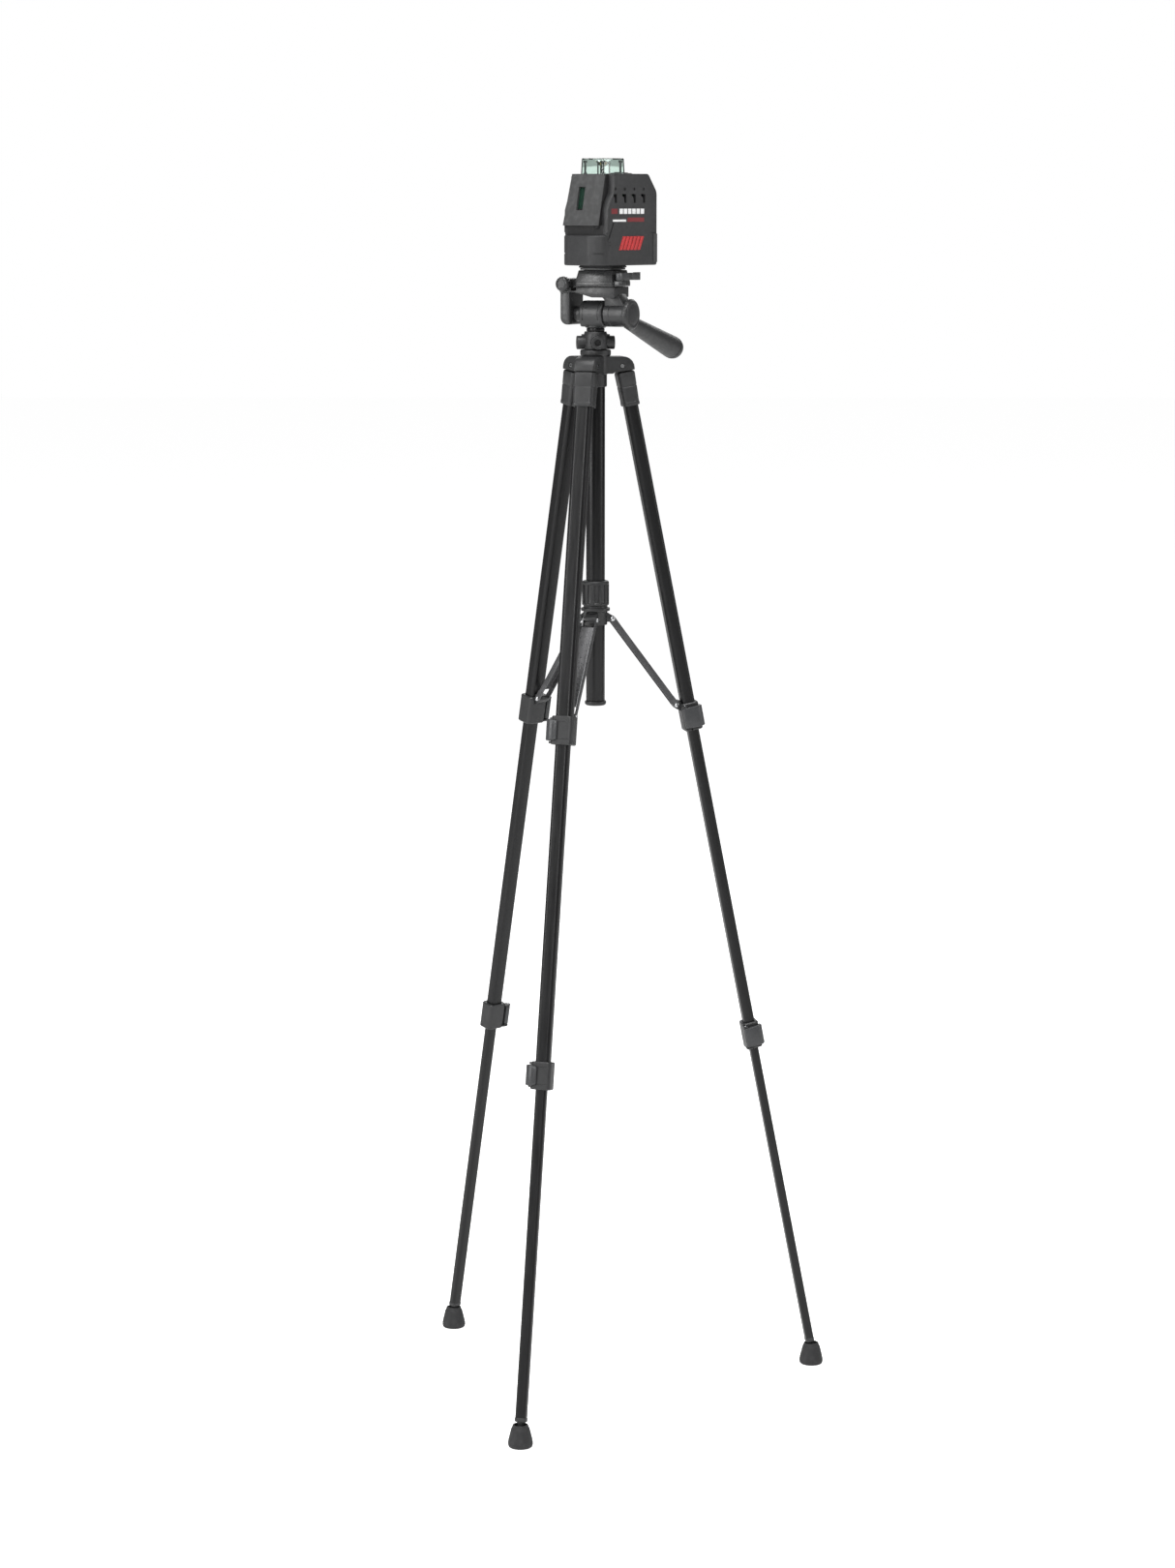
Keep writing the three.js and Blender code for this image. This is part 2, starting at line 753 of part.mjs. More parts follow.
function quickReleaseLever() {
  const plan = polygon([
    [32, -15],
    [33.8, -17],
    [38, -17],
    [40, -15],
    [39.4, 6],
    [46, 8],
    [46, 14],
    [36, 15],
    [33, 12],
  ]);
  return cut(
    prismZ(plan, 1195.8, 1203.4),
    placed(cylinderZ(2 + GAP, 1190, 1210, 12), shift(36, -13, 0)),
  );
}

// ---------------------------------------------------------------- laser level
const laserFrame = chain(headFrame, shift(SCREW_U, 0, LASER_BASE), turnZ(LASER_TURN - TILT_AXIS_TURN));

const bodyPlan = (front, back, half, frontCut, backCut) =>
  polygon([
    [front, -half + frontCut],
    [front, half - frontCut],
    [front - frontCut, half],
    [back + backCut, half],
    [back, half - backCut],
    [back, -half + backCut],
    [back + backCut, -half],
    [front - frontCut, -half],
  ]);

const WAIST = 41.2;
const FRONT_LEAN = 0.1908;
const CORNER_LEAN = 0.261;
const frontAt = (z) => LASER_FRONT - FRONT_LEAN * Math.max(0, z - WAIST);
const visorBackAt = (z) => 32.4 - 0.2249 * (z - WAIST);

// the base of the housing, with the shadow groove that runs under the visor
function laserBase() {
  const side = polygon([
    [LASER_BACK + 1, 0],
    [LASER_FRONT - 1.5, 0],
    [LASER_FRONT, 1.5],
    [LASER_FRONT, 29.5],
    [33, 31.5],
    [33, WAIST],
    [LASER_BACK, WAIST],
    [LASER_BACK, 1],
  ]);
  const plan = prismZ(bodyPlan(LASER_FRONT, LASER_BACK, LASER_HALF_WIDTH, 12, 5), 0, WAIST);
  return common(plan, prismY(side, -35, 35));
}

// the full-width part above the base: its front edge sweeps back beside the visor
function laserUpper() {
  const side = polygon([
    [LASER_BACK, WAIST - 1],
    [26, WAIST - 1],
    [26, WAIST],
    [25, 57],
    [16.5, 72],
    [15.5, LASER_TOP],
    [-37.5, LASER_TOP],
    [LASER_BACK, 70.2],
  ]);
  const plan = prismZ(bodyPlan(LASER_FRONT, LASER_BACK, LASER_HALF_WIDTH, 12, 5), 0, LASER_TOP);
  return common(plan, prismY(side, -35, 35));
}

// the narrower nose that carries the visor
const laserNose = () => block(5, 34, -23.8, 23.8, WAIST - 1, LASER_TOP);

// everything in front of a leaning plane belongs to the visor
const visorRegion = (gap) =>
  prismY(
    polygon([
      [visorBackAt(WAIST) - gap, WAIST - gap],
      [50, WAIST - gap],
      [50, 100],
      [visorBackAt(100) - gap, 100],
    ]),
    -40,
    40,
  );

function laserHousing() {
  const inside = (half, side) =>
    common(prismZ(bodyPlan(34, -51, half, 9, 4), 3, 91.5), prismY(polygon(side), -30, 30));
  const cavity = join(
    inside(28, [
      [-51, 3],
      [29.5, 3],
      [29.5, 27],
      [22, 31],
      [22, 57],
      [13.5, 72],
      [12.5, 91.5],
      [-35.5, 91.5],
      [-51, 68.5],
    ]),
    inside(20.8, [
      [0, 45],
      [visorBackAt(45) - 3, 45],
      [visorBackAt(91.5) - 3, 91.5],
      [0, 91.5],
    ]),
  );
  const threadBoss = cylinderZ(8, 2, 13, 20);
  const gimbalPost = (side) =>
    block(-4, 4, side > 0 ? 17.5 : -29, side > 0 ? 29 : -17.5, GIMBAL_HEIGHT - 4, GIMBAL_HEIGHT + 4);
  const vents = [0, 1, 2, 3].map((n) => block(10.5 - 14 * n, 15 - 14 * n, 29.8, 32, 64.5, 73.5));
  const shell = join(
    cut(join(laserBase(), laserUpper(), laserNose()), visorRegion(GAP), cavity),
    threadBoss,
    gimbalPost(1),
    gimbalPost(-1),
  );
  return cut(
    shell,
    ...vents,
    cylinderZ(3.4, -1, 10, 16),
    cylinderY(0, GIMBAL_HEIGHT, 1.8, -21, 21, 12),
    block(16, 32, -5, 5, WINDOW_HEIGHT - 11, WINDOW_HEIGHT + 11),
    block(-13.5, 13.5, -13.5, 13.5, 88, 96),
    block(-17, 17, -17, 17, 93.4, 96),
    block(-56, -51.5, -21.3, 21.3, 12.3, 61.7),
    block(-56, -48, -18, 18, 16, 58),
    block(-8.3, 12.3, -32, -28.9, 29.7, 37.3),
    block(-35.3, -18.7, -10.3, 10.3, 92.3, 96),
  );
}

function laserVisor() {
  const corners = new THREE.Matrix4().set(1, 0, -CORNER_LEAN, 0, 0, 1, 0, 0, 0, 0, 1, WAIST, 0, 0, 0, 1);
  const plan = polygon([
    [59.2, 0],
    [19.2, 40],
    [-40, 40],
    [-40, -40],
    [19.2, -40],
  ]);
  const side = polygon([
    [visorBackAt(WAIST), WAIST],
    [LASER_FRONT - 1, WAIST],
    [LASER_FRONT, WAIST + 1],
    [frontAt(91), 91],
    [frontAt(91) - 3.3, LASER_TOP - 0.2],
    [visorBackAt(LASER_TOP), LASER_TOP - 0.2],
  ]);
  const face = polygon([
    [-26.2, WAIST],
    [26.2, WAIST],
    [24.4, 91.5],
    [22, LASER_TOP],
    [-22, LASER_TOP],
    [-24.4, 91.5],
  ]);
  const plate = common(
    placed(prismZ(plan, 0, LASER_TOP - WAIST), corners),
    prismY(side, -35, 35),
    prismX(face, 0, 60),
  );
  const recess = prismY(
    polygon([
      [50, 57],
      [50, 81],
      [26.9, 81],
      [31.1, 57],
    ]),
    -4.7,
    4.7,
  );
  return cut(plate, recess, block(20, 40, -3.4, 3.4, WINDOW_HEIGHT - 10, WINDOW_HEIGHT + 10));
}

function frontWindow() {
  return placed(
    prismX(roundedRectangle(8.8, 22.4, 1), -0.7, 0.7, 2),
    chain(shift(29.95, 0, WINDOW_HEIGHT), turnY(-9.9)),
  );
}

function glassCover() {
  const outline = (inset, z0, z1) => {
    const wall = polygon([
      [-16.6 + inset, z0],
      [16.6 - inset, z0],
      [16 - inset, z1],
      [-16 + inset, z1],
    ]);
    return common(prismY(wall, -20, 20), prismX(wall, -20, 20));
  };
  return cut(outline(0, 93.8, 110.5), outline(1.6, 93, 108.9));
}

function coneMirror() {
  return turned([
    [0, 99.5],
    [7.4, 106],
    [7.4, 107.6],
    [0, 107.6],
  ], 24);
}

function gimbalRing() {
  const [low, high] = [GIMBAL_HEIGHT - 3, GIMBAL_HEIGHT + 3];
  return cut(
    join(
      cylinderZ(14, low, high, 28),
      cylinderY(0, GIMBAL_HEIGHT, 1.5, -20.4, -12, 12),
      cylinderY(0, GIMBAL_HEIGHT, 1.5, 12, 20.4, 12),
    ),
    cylinderZ(11, low - 1, high + 1, 28),
    cylinderX(0, GIMBAL_HEIGHT, 1.8, -20, 20, 12),
  );
}

// the swinging part: both laser modules on one stem, with the damping weight at its foot
function pendulum() {
  const stem = turned([
    [0, 22],
    [12.5, 22],
    [12.5, 28],
    [6, 31],
    [6, 56],
    [8.6, 58],
    [8.6, 93],
    [0, 93],
  ], 24);
  const posts = [0, 120, 240].map((a) =>
    placed(cylinderZ(0.8, 92, 105.6, 8), chain(turnZ(a), shift(6.6, 0, 0))),
  );
  return cut(
    join(
      stem,
      ...posts,
      cylinderX(0, WINDOW_HEIGHT, 5.8, -14, 17, 16),
      cylinderX(0, GIMBAL_HEIGHT, 1.5, -13.4, 13.4, 12),
    ),
    turned([
      [0, 99.2],
      [7.7, 105.7],
      [7.7, 108],
      [0, 108],
    ], 24),
    cylinderX(0, WINDOW_HEIGHT, 3.2, 12, 18, 16),
  );
}

function batteryDoor() {
  const outline = new THREE.Shape();
  outline.moveTo(-51.8, 13.7);
  outline.absarc(-52.9, 13.7, 1.1, 0, -Math.PI, true);
  outline.lineTo(-54, 61.4);
  outline.lineTo(-51.8, 61.4);
  return prismY(outline, -21, 21, 6);
}

const batteryPack = () => block(-47.5, -24, -17.5, 17.5, 16.5, 57.5);
const circuitBoard = () => block(-20.5, -18.9, -24, 24, 8, 76);

function lockSwitch() {
  const nub = polygon([
    [-7, -29.2],
    [-8, -31.2],
    [-6.4, -32.8],
    [2.4, -32.8],
    [4, -31.2],
    [3, -29.2],
  ]);
  return prismZ(nub, 30, 37);
}

const keypad = () =>
  placed(prismZ(roundedRectangle(16, 20, 3), 93.4, 95.6), shift(-27, 0, 0));

// ---------------------------------------------------------------- assembly
add('hub_casting', hub(), castPlastic);
add('outer_centre_tube', cut(
  cylinderZ(OUTER_TUBE.outer, OUTER_TUBE.bottom, OUTER_TUBE.top),
  cylinderZ(OUTER_TUBE.inner, OUTER_TUBE.bottom - 1, OUTER_TUBE.top + 1),
), anodised);
add('centre_tube_end_cap', tubeEndCap(), castPlastic);
add('centre_column', centreColumn(), anodised);
add('column_lock_nut', columnLockNut(), castPlastic);
add('brace_collar', braceCollar(), castPlastic);

LEG_NAMES.forEach((side, i) => {
  const leg = legFrame(i);
  add(`${side}_leg_top_casting`, legCasting(), castPlastic, leg);
  add(`${side}_leg_upper_tube`, legTube(UPPER_TUBE), anodised, leg);
  add(`${side}_leg_upper_clamp`, clampCollar(UPPER_CLAMP, UPPER_TUBE, MIDDLE_TUBE, true), castPlastic, leg);
  add(`${side}_leg_upper_lever`, clampLever(UPPER_CLAMP), glossPlastic, leg);
  add(`${side}_leg_middle_tube`, legTube(MIDDLE_TUBE), anodised, leg);
  add(`${side}_leg_lower_clamp`, clampCollar(LOWER_CLAMP, MIDDLE_TUBE, LOWER_TUBE, false), castPlastic, leg);
  add(`${side}_leg_lower_lever`, clampLever(LOWER_CLAMP), glossPlastic, leg);
  add(`${side}_leg_lower_tube`, lowerTube(), anodised, leg);
  add(`${side}_foot`, foot(), softRubber, footFrame(i));
  add(`${side}_brace`, brace(), anodised, braceFrame(i));
});

add('pan_base', panBase(), castPlastic, headFrame);
add('tilt_bracket', tiltBracket(), castPlastic, headFrame);
add('tilt_end_cap', tiltCap(), glossPlastic, headFrame);
add('handle_rod', handleRod(), plainSteel, chain(headFrame, handleFrame));
add('handle_grip', handleGrip(), softRubber, chain(headFrame, handleFrame));
add('flip_platform', platform(), castPlastic, headFrame);
add('flip_lock_knob', flipKnob(), castPlastic, headFrame);
add('quick_release_plate', quickReleasePlate(), castPlastic, headFrame);
add('quick_release_pad', rubberPad(), softRubber, headFrame);
add('quick_release_lever', quickReleaseLever(), glossPlastic, headFrame);
add('camera_screw', cameraScrew(), plainSteel, headFrame);

add('laser_housing', laserHousing(), laserPlastic, laserFrame);
add('laser_visor', laserVisor(), softRubber, laserFrame);
add('laser_front_window', frontWindow(), greenGlass, laserFrame);
add('laser_glass_cover', glassCover(), clearGlass, laserFrame);
add('cone_mirror', coneMirror(), mirrorMetal, laserFrame);
add('gimbal_ring', gimbalRing(), brassMetal, laserFrame);
add('pendulum', pendulum(), brassMetal, laserFrame);
add('battery_pack', batteryPack(), batteryWrap, laserFrame);
add('circuit_board', circuitBoard(), boardGreen, laserFrame);
add('battery_door', batteryDoor(), laserPlastic, laserFrame);
add('lock_switch', lockSwitch(), glossPlastic, laserFrame);
add('keypad', keypad(), softRubber, laserFrame);

export default group;
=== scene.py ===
from math import atan2, cos, pi, radians, sin

import bmesh
import bpy
from mathutils import Matrix, Vector


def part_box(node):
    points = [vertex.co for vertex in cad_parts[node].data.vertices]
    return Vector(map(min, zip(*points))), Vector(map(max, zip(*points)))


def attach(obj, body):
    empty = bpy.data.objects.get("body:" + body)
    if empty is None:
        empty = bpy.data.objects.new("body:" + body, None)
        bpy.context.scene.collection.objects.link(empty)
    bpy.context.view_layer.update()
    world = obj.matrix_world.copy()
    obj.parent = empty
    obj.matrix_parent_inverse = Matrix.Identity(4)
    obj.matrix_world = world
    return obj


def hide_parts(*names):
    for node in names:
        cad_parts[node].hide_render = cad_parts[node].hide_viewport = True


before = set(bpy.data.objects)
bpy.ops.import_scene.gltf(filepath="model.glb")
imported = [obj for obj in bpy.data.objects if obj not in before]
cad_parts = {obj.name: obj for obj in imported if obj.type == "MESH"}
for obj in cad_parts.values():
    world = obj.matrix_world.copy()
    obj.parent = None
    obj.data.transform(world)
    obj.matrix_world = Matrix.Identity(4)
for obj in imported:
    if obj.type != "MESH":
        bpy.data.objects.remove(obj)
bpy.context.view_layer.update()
scene = bpy.context.scene

# ---------------------------------------------------------------- camera
# A long-lens view from about four metres in front of the tripod, a little below the top of
# the laser and tipped nine degrees down, so the whole object stands in an upright picture.
column_low, column_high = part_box("centre_column")
AXIS_X = (column_low.x + column_high.x) / 2
AXIS_Y = (column_low.y + column_high.y) / 2
CAMERA_DISTANCE = 3.947
CAMERA_HEIGHT = 1.285
CAMERA_TIP = 9.0
CAMERA_ASIDE = -0.0085

lens = bpy.data.cameras.new("studio_camera")
lens.sensor_width = 36
lens.lens = 85.56
lens.clip_start, lens.clip_end = 0.1, 60
camera = bpy.data.objects.new("studio_camera", lens)
camera.location = (AXIS_X + CAMERA_ASIDE, AXIS_Y - CAMERA_DISTANCE, CAMERA_HEIGHT)
camera.rotation_euler = (radians(90 - CAMERA_TIP), 0, 0)
scene.collection.objects.link(camera)
scene.camera = camera

# ---------------------------------------------------------------- studio
# A matt white floor in an even white room, as for a catalogue picture. A large soft box hangs
# overhead, with smaller ones in front, at the left, at the right and behind.
FLOOR_SIZE = 40.0
ROOM_GLOW = 0.2
FLOOR_GLOW = 0.8
FLOOR_BOUNCE = 0.22

scene.view_settings.view_transform = "Standard"
room = bpy.data.worlds.new("white_room")
room.use_nodes = True
scene.world = room
sky = room.node_tree
glow = sky.nodes["Background"]
seen = sky.nodes.new("ShaderNodeBackground")
ray = sky.nodes.new("ShaderNodeLightPath")
clear_view = sky.nodes.new("ShaderNodeMath")
clear_view.operation = "MAXIMUM"
either = sky.nodes.new("ShaderNodeMixShader")
glow.inputs["Color"].default_value = (1, 1, 1, 1)
glow.inputs["Strength"].default_value = ROOM_GLOW
seen.inputs["Color"].default_value = (1, 1, 1, 1)
seen.inputs["Strength"].default_value = 1.0
sky.links.new(ray.outputs["Is Camera Ray"], clear_view.inputs[0])
sky.links.new(ray.outputs["Is Transmission Ray"], clear_view.inputs[1])
sky.links.new(clear_view.outputs["Value"], either.inputs["Fac"])
sky.links.new(glow.outputs["Background"], either.inputs[1])
sky.links.new(seen.outputs["Background"], either.inputs[2])
sky.links.new(either.outputs["Shader"], sky.nodes["World Output"].inputs["Surface"])

floor_shape = bmesh.new()
bmesh.ops.create_grid(floor_shape, x_segments=1, y_segments=1, size=FLOOR_SIZE / 2)
floor_mesh = bpy.data.meshes.new("studio_floor")
floor_shape.to_mesh(floor_mesh)
floor_shape.free()
floor = bpy.data.objects.new("studio_floor", floor_mesh)
scene.collection.objects.link(floor)
floor_paint = bpy.data.materials.new("floor_paint")
floor_paint.use_nodes = True
floor_shader = floor_paint.node_tree.nodes["Principled BSDF"]
floor_shader.inputs["Base Color"].default_value = (0.93, 0.93, 0.93, 1)
floor_shader.inputs["Roughness"].default_value = 0.9
floor_shader.inputs["Specular IOR Level"].default_value = 0.1
floor_shader.inputs["Emission Color"].default_value = (1, 1, 1, 1)
floor_ray = floor_paint.node_tree.nodes.new("ShaderNodeLightPath")
floor_level = floor_paint.node_tree.nodes.new("ShaderNodeMapRange")
floor_level.inputs["To Min"].default_value = FLOOR_BOUNCE
floor_level.inputs["To Max"].default_value = FLOOR_GLOW
floor_paint.node_tree.links.new(floor_ray.outputs["Is Camera Ray"], floor_level.inputs["Value"])
floor_paint.node_tree.links.new(floor_level.outputs["Result"], floor_shader.inputs["Emission Strength"])
floor_mesh.materials.append(floor_paint)

SOFT_BOXES = (
    ("overhead_box", (-0.3, -1.5, 4.6), (0, 0, 1.0), 2.6, 2.2, 150),
    ("front_box", (-1.1, -4.4, 2.3), (0, 0, 1.0), 1.0, 1.6, 46),
    ("left_box", (-3.2, -1.9, 2.1), (0, 0, 0.9), 1.0, 3.0, 62),
    ("right_box", (3.4, -0.6, 1.9), (0, 0, 0.9), 0.8, 3.0, 22),
    ("rear_box", (0.6, 3.4, 2.8), (0, 0, 0.9), 3.0, 1.6, 40),
)
for box_name, place, aim, width, height, power in SOFT_BOXES:
    lamp = bpy.data.lights.new(box_name, "AREA")
    lamp.shape = "RECTANGLE"
    lamp.size, lamp.size_y = width, height
    lamp.energy = power
    box = bpy.data.objects.new(box_name, lamp)
    box.location = place
    box.rotation_euler = (Vector(aim) - Vector(place)).to_track_quat("-Z", "Y").to_euler()
    scene.collection.objects.link(box)

# ---------------------------------------------------------------- centre tubes
# The outer centre tube is pressed into the hub, and the column slides inside it: both are
# drawn aluminium, anodised black with a satin finish. A moulded cap closes the lower end.
TRIPOD = Matrix.Translation((AXIS_X, AXIS_Y, 0)) @ Matrix.Scale(0.001, 4)
OUTER_TUBE_RADIUS, OUTER_TUBE_BORE = 10, 8.5
OUTER_TUBE_TOP, OUTER_TUBE_FOOT = 1099.6, 750.4
COLUMN_RADIUS, COLUMN_BORE, COLUMN_FOOT = 8.2, 7.2, 772
ANODISED_BLACK = (0.0045, 0.0045, 0.005)
CHARCOAL = (0.02, 0.0203, 0.021)


def link(tree, outlet, inlet):
    tree.links.new(outlet, inlet)


def start_finish(name, roughness, metallic=0.0, specular=0.5):
    finish = bpy.data.materials.new(name)
    finish.use_nodes = True
    tree = finish.node_tree
    shader = tree.nodes["Principled BSDF"]
    shader.inputs["Roughness"].default_value = roughness
    shader.inputs["Metallic"].default_value = metallic
    shader.inputs["Specular IOR Level"].default_value = specular
    return finish, tree, shader


def own_grain(tree):
    """Millimetres in the piece's own frame, kept on its mesh as the attribute grain."""
    source = tree.nodes.new("ShaderNodeAttribute")
    source.attribute_name = "grain"
    return source.outputs["Vector"]


def shelf_grain(tree):
    """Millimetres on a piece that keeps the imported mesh."""
    source = tree.nodes.new("ShaderNodeTexCoord")
    scale = tree.nodes.new("ShaderNodeMapping")
    scale.inputs["Scale"].default_value = (1000, 1000, 1000)
    link(tree, source.outputs["Object"], scale.inputs["Vector"])
    return scale.outputs["Vector"]


def speckle(tree, where, size, stretch=(1, 1, 1), detail=2.0):
    """Noise whose blobs are about size millimetres across."""
    squeeze = tree.nodes.new("ShaderNodeMapping")
    squeeze.inputs["Scale"].default_value = [1 / (size * s) for s in stretch]
    noise = tree.nodes.new("ShaderNodeTexNoise")
    noise.inputs["Scale"].default_value = 1.0
    noise.inputs["Detail"].default_value = detail
    link(tree, where, squeeze.inputs["Vector"])
    link(tree, squeeze.outputs["Vector"], noise.inputs["Vector"])
    return noise.outputs["Fac"]


def spread(tree, value, low, high, start=0.3, end=0.7):
    """The value stretched onto low to high."""
    ranged = tree.nodes.new("ShaderNodeMapRange")
    ranged.inputs["From Min"].default_value = start
    ranged.inputs["From Max"].default_value = end
    ranged.inputs["To Min"].default_value = low
    ranged.inputs["To Max"].default_value = high
    link(tree, value, ranged.inputs["Value"])
    return ranged.outputs["Result"]


def blend_tones(tree, factor, dark, light):
    mix = tree.nodes.new("ShaderNodeMix")
    mix.data_type = "RGBA"
    for socket, tone in (("A", dark), ("B", light)):
        colour = [i for i in mix.inputs if i.name == socket and i.type == "RGBA"][0]
        if isinstance(tone, bpy.types.NodeSocket):
            link(tree, tone, colour)
        else:
            colour.default_value = (*tone, 1)
    link(tree, factor, mix.inputs["Factor"])
    return [o for o in mix.outputs if o.type == "RGBA"][0]


def paint(tree, shader, pattern, dark, light, levels=(0, 1)):
    """Colours the surface from dark to light by a pattern."""
    link(tree, blend_tones(tree, spread(tree, pattern, *levels), dark, light), shader.inputs["Base Color"])


def vary_gloss(tree, shader, pattern, low, high):
    link(tree, spread(tree, pattern, low, high), shader.inputs["Roughness"])


def raise_grain(tree, shader, height, depth):
    """Bump of the given depth in millimetres."""
    bump = tree.nodes.new("ShaderNodeBump")
    bump.inputs["Strength"].default_value = 1.0
    bump.inputs["Distance"].default_value = depth * 0.001
    link(tree, height, bump.inputs["Height"])
    link(tree, bump.outputs["Normal"], shader.inputs["Normal"])


def shade(colour, amount):
    """The colour made darker or lighter."""
    return tuple(c * amount for c in colour)


def anodised_finish(name, colour, roughness):
    """Satin anodising with fine draw lines that run along the tube."""
    finish, tree, shader = start_finish(name, roughness, 0.25, 0.5)
    where = own_grain(tree)
    lines = speckle(tree, where, 0.35, (1, 1, 160), 3)
    cloud = speckle(tree, where, 14, (1, 1, 4))
    paint(tree, shader, cloud, shade(colour, 0.75), shade(colour, 1.35))
    vary_gloss(tree, shader, speckle(tree, where, 3, (1, 1, 12)), roughness - 0.05, roughness + 0.06)
    raise_grain(tree, shader, lines, 0.012)
    return finish


def moulded_finish(name, colour, roughness, grain_size=0.45, depth=0.02, where_from=own_grain):
    """Injection-moulded plastic with a spark-eroded grain and slightly uneven gloss."""
    finish, tree, shader = start_finish(name, roughness)
    where = where_from(tree)
    grain = speckle(tree, where, grain_size, detail=4)
    cloud = speckle(tree, where, 18)
    base = blend_tones(tree, spread(tree, cloud, 0, 1), shade(colour, 0.86), shade(colour, 1.14))
    fleck = blend_tones(
        tree, spread(tree, speckle(tree, where, grain_size * 1.6), 0, 0.5), base, shade(colour, 1.5),
    )
    link(tree, fleck, shader.inputs["Base Color"])
    vary_gloss(tree, shader, speckle(tree, where, 5), roughness - 0.06, roughness + 0.07)
    raise_grain(tree, shader, grain, depth)
    return finish


def outward(shape):
    """Turns every face to point out."""
    bmesh.ops.recalc_face_normals(shape, faces=shape.faces[:])
    return shape


def turned(profile, steps=72, ring=False):
    """A body turned about its own upright axis from (radius, height) points."""
    shape = bmesh.new()
    points = [shape.verts.new((r, 0, z)) for r, z in profile]
    for a, b in zip(points, points[1:] + points[:1] if ring else points[1:]):
        shape.edges.new((a, b))
    bmesh.ops.spin(
        shape, geom=shape.verts[:] + shape.edges[:], cent=(0, 0, 0), axis=(0, 0, 1),
        angle=2 * pi, steps=steps, use_merge=True, use_duplicate=False,
    )
    bmesh.ops.remove_doubles(shape, verts=shape.verts[:], dist=1e-4)
    return outward(shape)


def soften(shape, radius, segments=2, from_angle=30, pick=None):
    """Rounds the edges that are sharper than from_angle."""
    sharp = [
        e for e in shape.edges
        if len(e.link_faces) == 2 and e.calc_face_angle(0) > radians(from_angle)
        and (pick is None or pick(e))
    ]
    bmesh.ops.bevel(
        shape, geom=sharp, offset=radius, offset_type="OFFSET", segments=segments, profile=0.5,
        affect="EDGES", clamp_overlap=True, material=-1,
    )
    return shape


def make_piece(shape, name, body, finish, place, stands_for=(), crease=35):
    """The finished mesh in its place, riding on a body."""
    grain = shape.verts.layers.float_vector.new("grain")
    for vert in shape.verts:
        vert[grain] = vert.co
    shape.transform(place)
    mesh = bpy.data.meshes.new(name)
    shape.to_mesh(mesh)
    shape.free()
    mesh.materials.append(finish)
    mesh.shade_smooth()
    mesh.set_sharp_from_angle(angle=radians(crease))
    piece = bpy.data.objects.new(name, mesh)
    scene.collection.objects.link(piece)
    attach(piece, body)
    if stands_for:
        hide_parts(*stands_for)
    return piece


anodised = anodised_finish("black_anodised_tube", ANODISED_BLACK, 0.34)
hub_plastic = moulded_finish("tripod_nylon", CHARCOAL, 0.42)

outer_tube = turned(
    [
        (OUTER_TUBE_RADIUS, OUTER_TUBE_FOOT), (OUTER_TUBE_RADIUS, OUTER_TUBE_TOP),
        (OUTER_TUBE_BORE, OUTER_TUBE_TOP), (OUTER_TUBE_BORE, OUTER_TUBE_FOOT),
    ],
    ring=True,
)
make_piece(
    soften(outer_tube, 0.25), "outer_tube_drawn", "tripod_centre", anodised, TRIPOD, ["outer_centre_tube"],
)

column = turned(
    [
        (0, 1153), (5, 1153), (5, 1145.5), (9.5, 1145.5), (9.5, 1142.3), (COLUMN_RADIUS, 1142.3),
        (COLUMN_RADIUS, COLUMN_FOOT), (COLUMN_BORE, COLUMN_FOOT), (COLUMN_BORE, 1139), (0, 1139),
    ]
)
make_piece(
    soften(column, 0.3), "sliding_column", "column", anodised, TRIPOD, ["centre_column"],
)

end_cap = turned(
    [
        (0, 747), (3.4, 747), (4.2, 745.5), (9.8, 745.5), (11.4, 747), (11.4, 750.1), (8.2, 750.1),
        (8.2, 762), (0, 762),
    ]
)
make_piece(
    soften(end_cap, 0.4), "tube_end_cap", "tripod_centre", hub_plastic, TRIPOD, ["centre_tube_end_cap"],
)

# ---------------------------------------------------------------- hub
# The hub is one nylon moulding: a barrel round the centre tube with three hooded arms, each
# with a slot from below for a leg's tongue and a steel hinge pin pushed across it.
LEG_TURN = 11.4
LEGS = (("right", LEG_TURN), ("left", LEG_TURN + 120), ("front", LEG_TURN + 240))
HINGE_RADIUS, HINGE_HEIGHT = 26.5, 1106
HOOD = [
    (2, 1098), (16, 1098), (19.5, 1099.6), (40.2, 1102.4), (40.2, 1104.2), (39.6, 1107.6), (37.6, 1111.4),
    (34.4, 1114.2), (31, 1115.6), (28.2, 1116), (2, 1116),
]
HOOD_HALF_WIDTH = 12


def slab(corners, start, end, across="y"):
    """A flat outline pushed to a thickness along one axis."""
    spot = {
        "x": lambda a, b: (start, a, b),
        "y": lambda a, b: (a, start, b),
        "z": lambda a, b: (a, b, start),
    }[across]
    push = {"x": (end - start, 0, 0), "y": (0, end - start, 0), "z": (0, 0, end - start)}[across]
    shape = bmesh.new()
    face = shape.faces.new([shape.verts.new(spot(a, b)) for a, b in corners])
    grown = bmesh.ops.extrude_face_region(shape, geom=[face])
    bmesh.ops.translate(
        shape, vec=push, verts=[v for v in grown["geom"] if isinstance(v, bmesh.types.BMVert)]
    )
    return outward(shape)


def block(x0, x1, y0, y1, z0, z1):
    return slab([(x0, y0), (x1, y0), (x1, y1), (x0, y1)], z0, z1, "z")


def shift(shape, way):
    bmesh.ops.translate(shape, vec=way, verts=shape.verts[:])
    return shape


def aimed(shape, axis="z", move=(0, 0, 0)):
    """Turns an upright shape to lie along an axis, then moves it."""
    if axis == "x":
        shape.transform(Matrix.Rotation(pi / 2, 4, "Y"))
    elif axis == "y":
        shape.transform(Matrix.Rotation(-pi / 2, 4, "X"))
    return shift(shape, move)


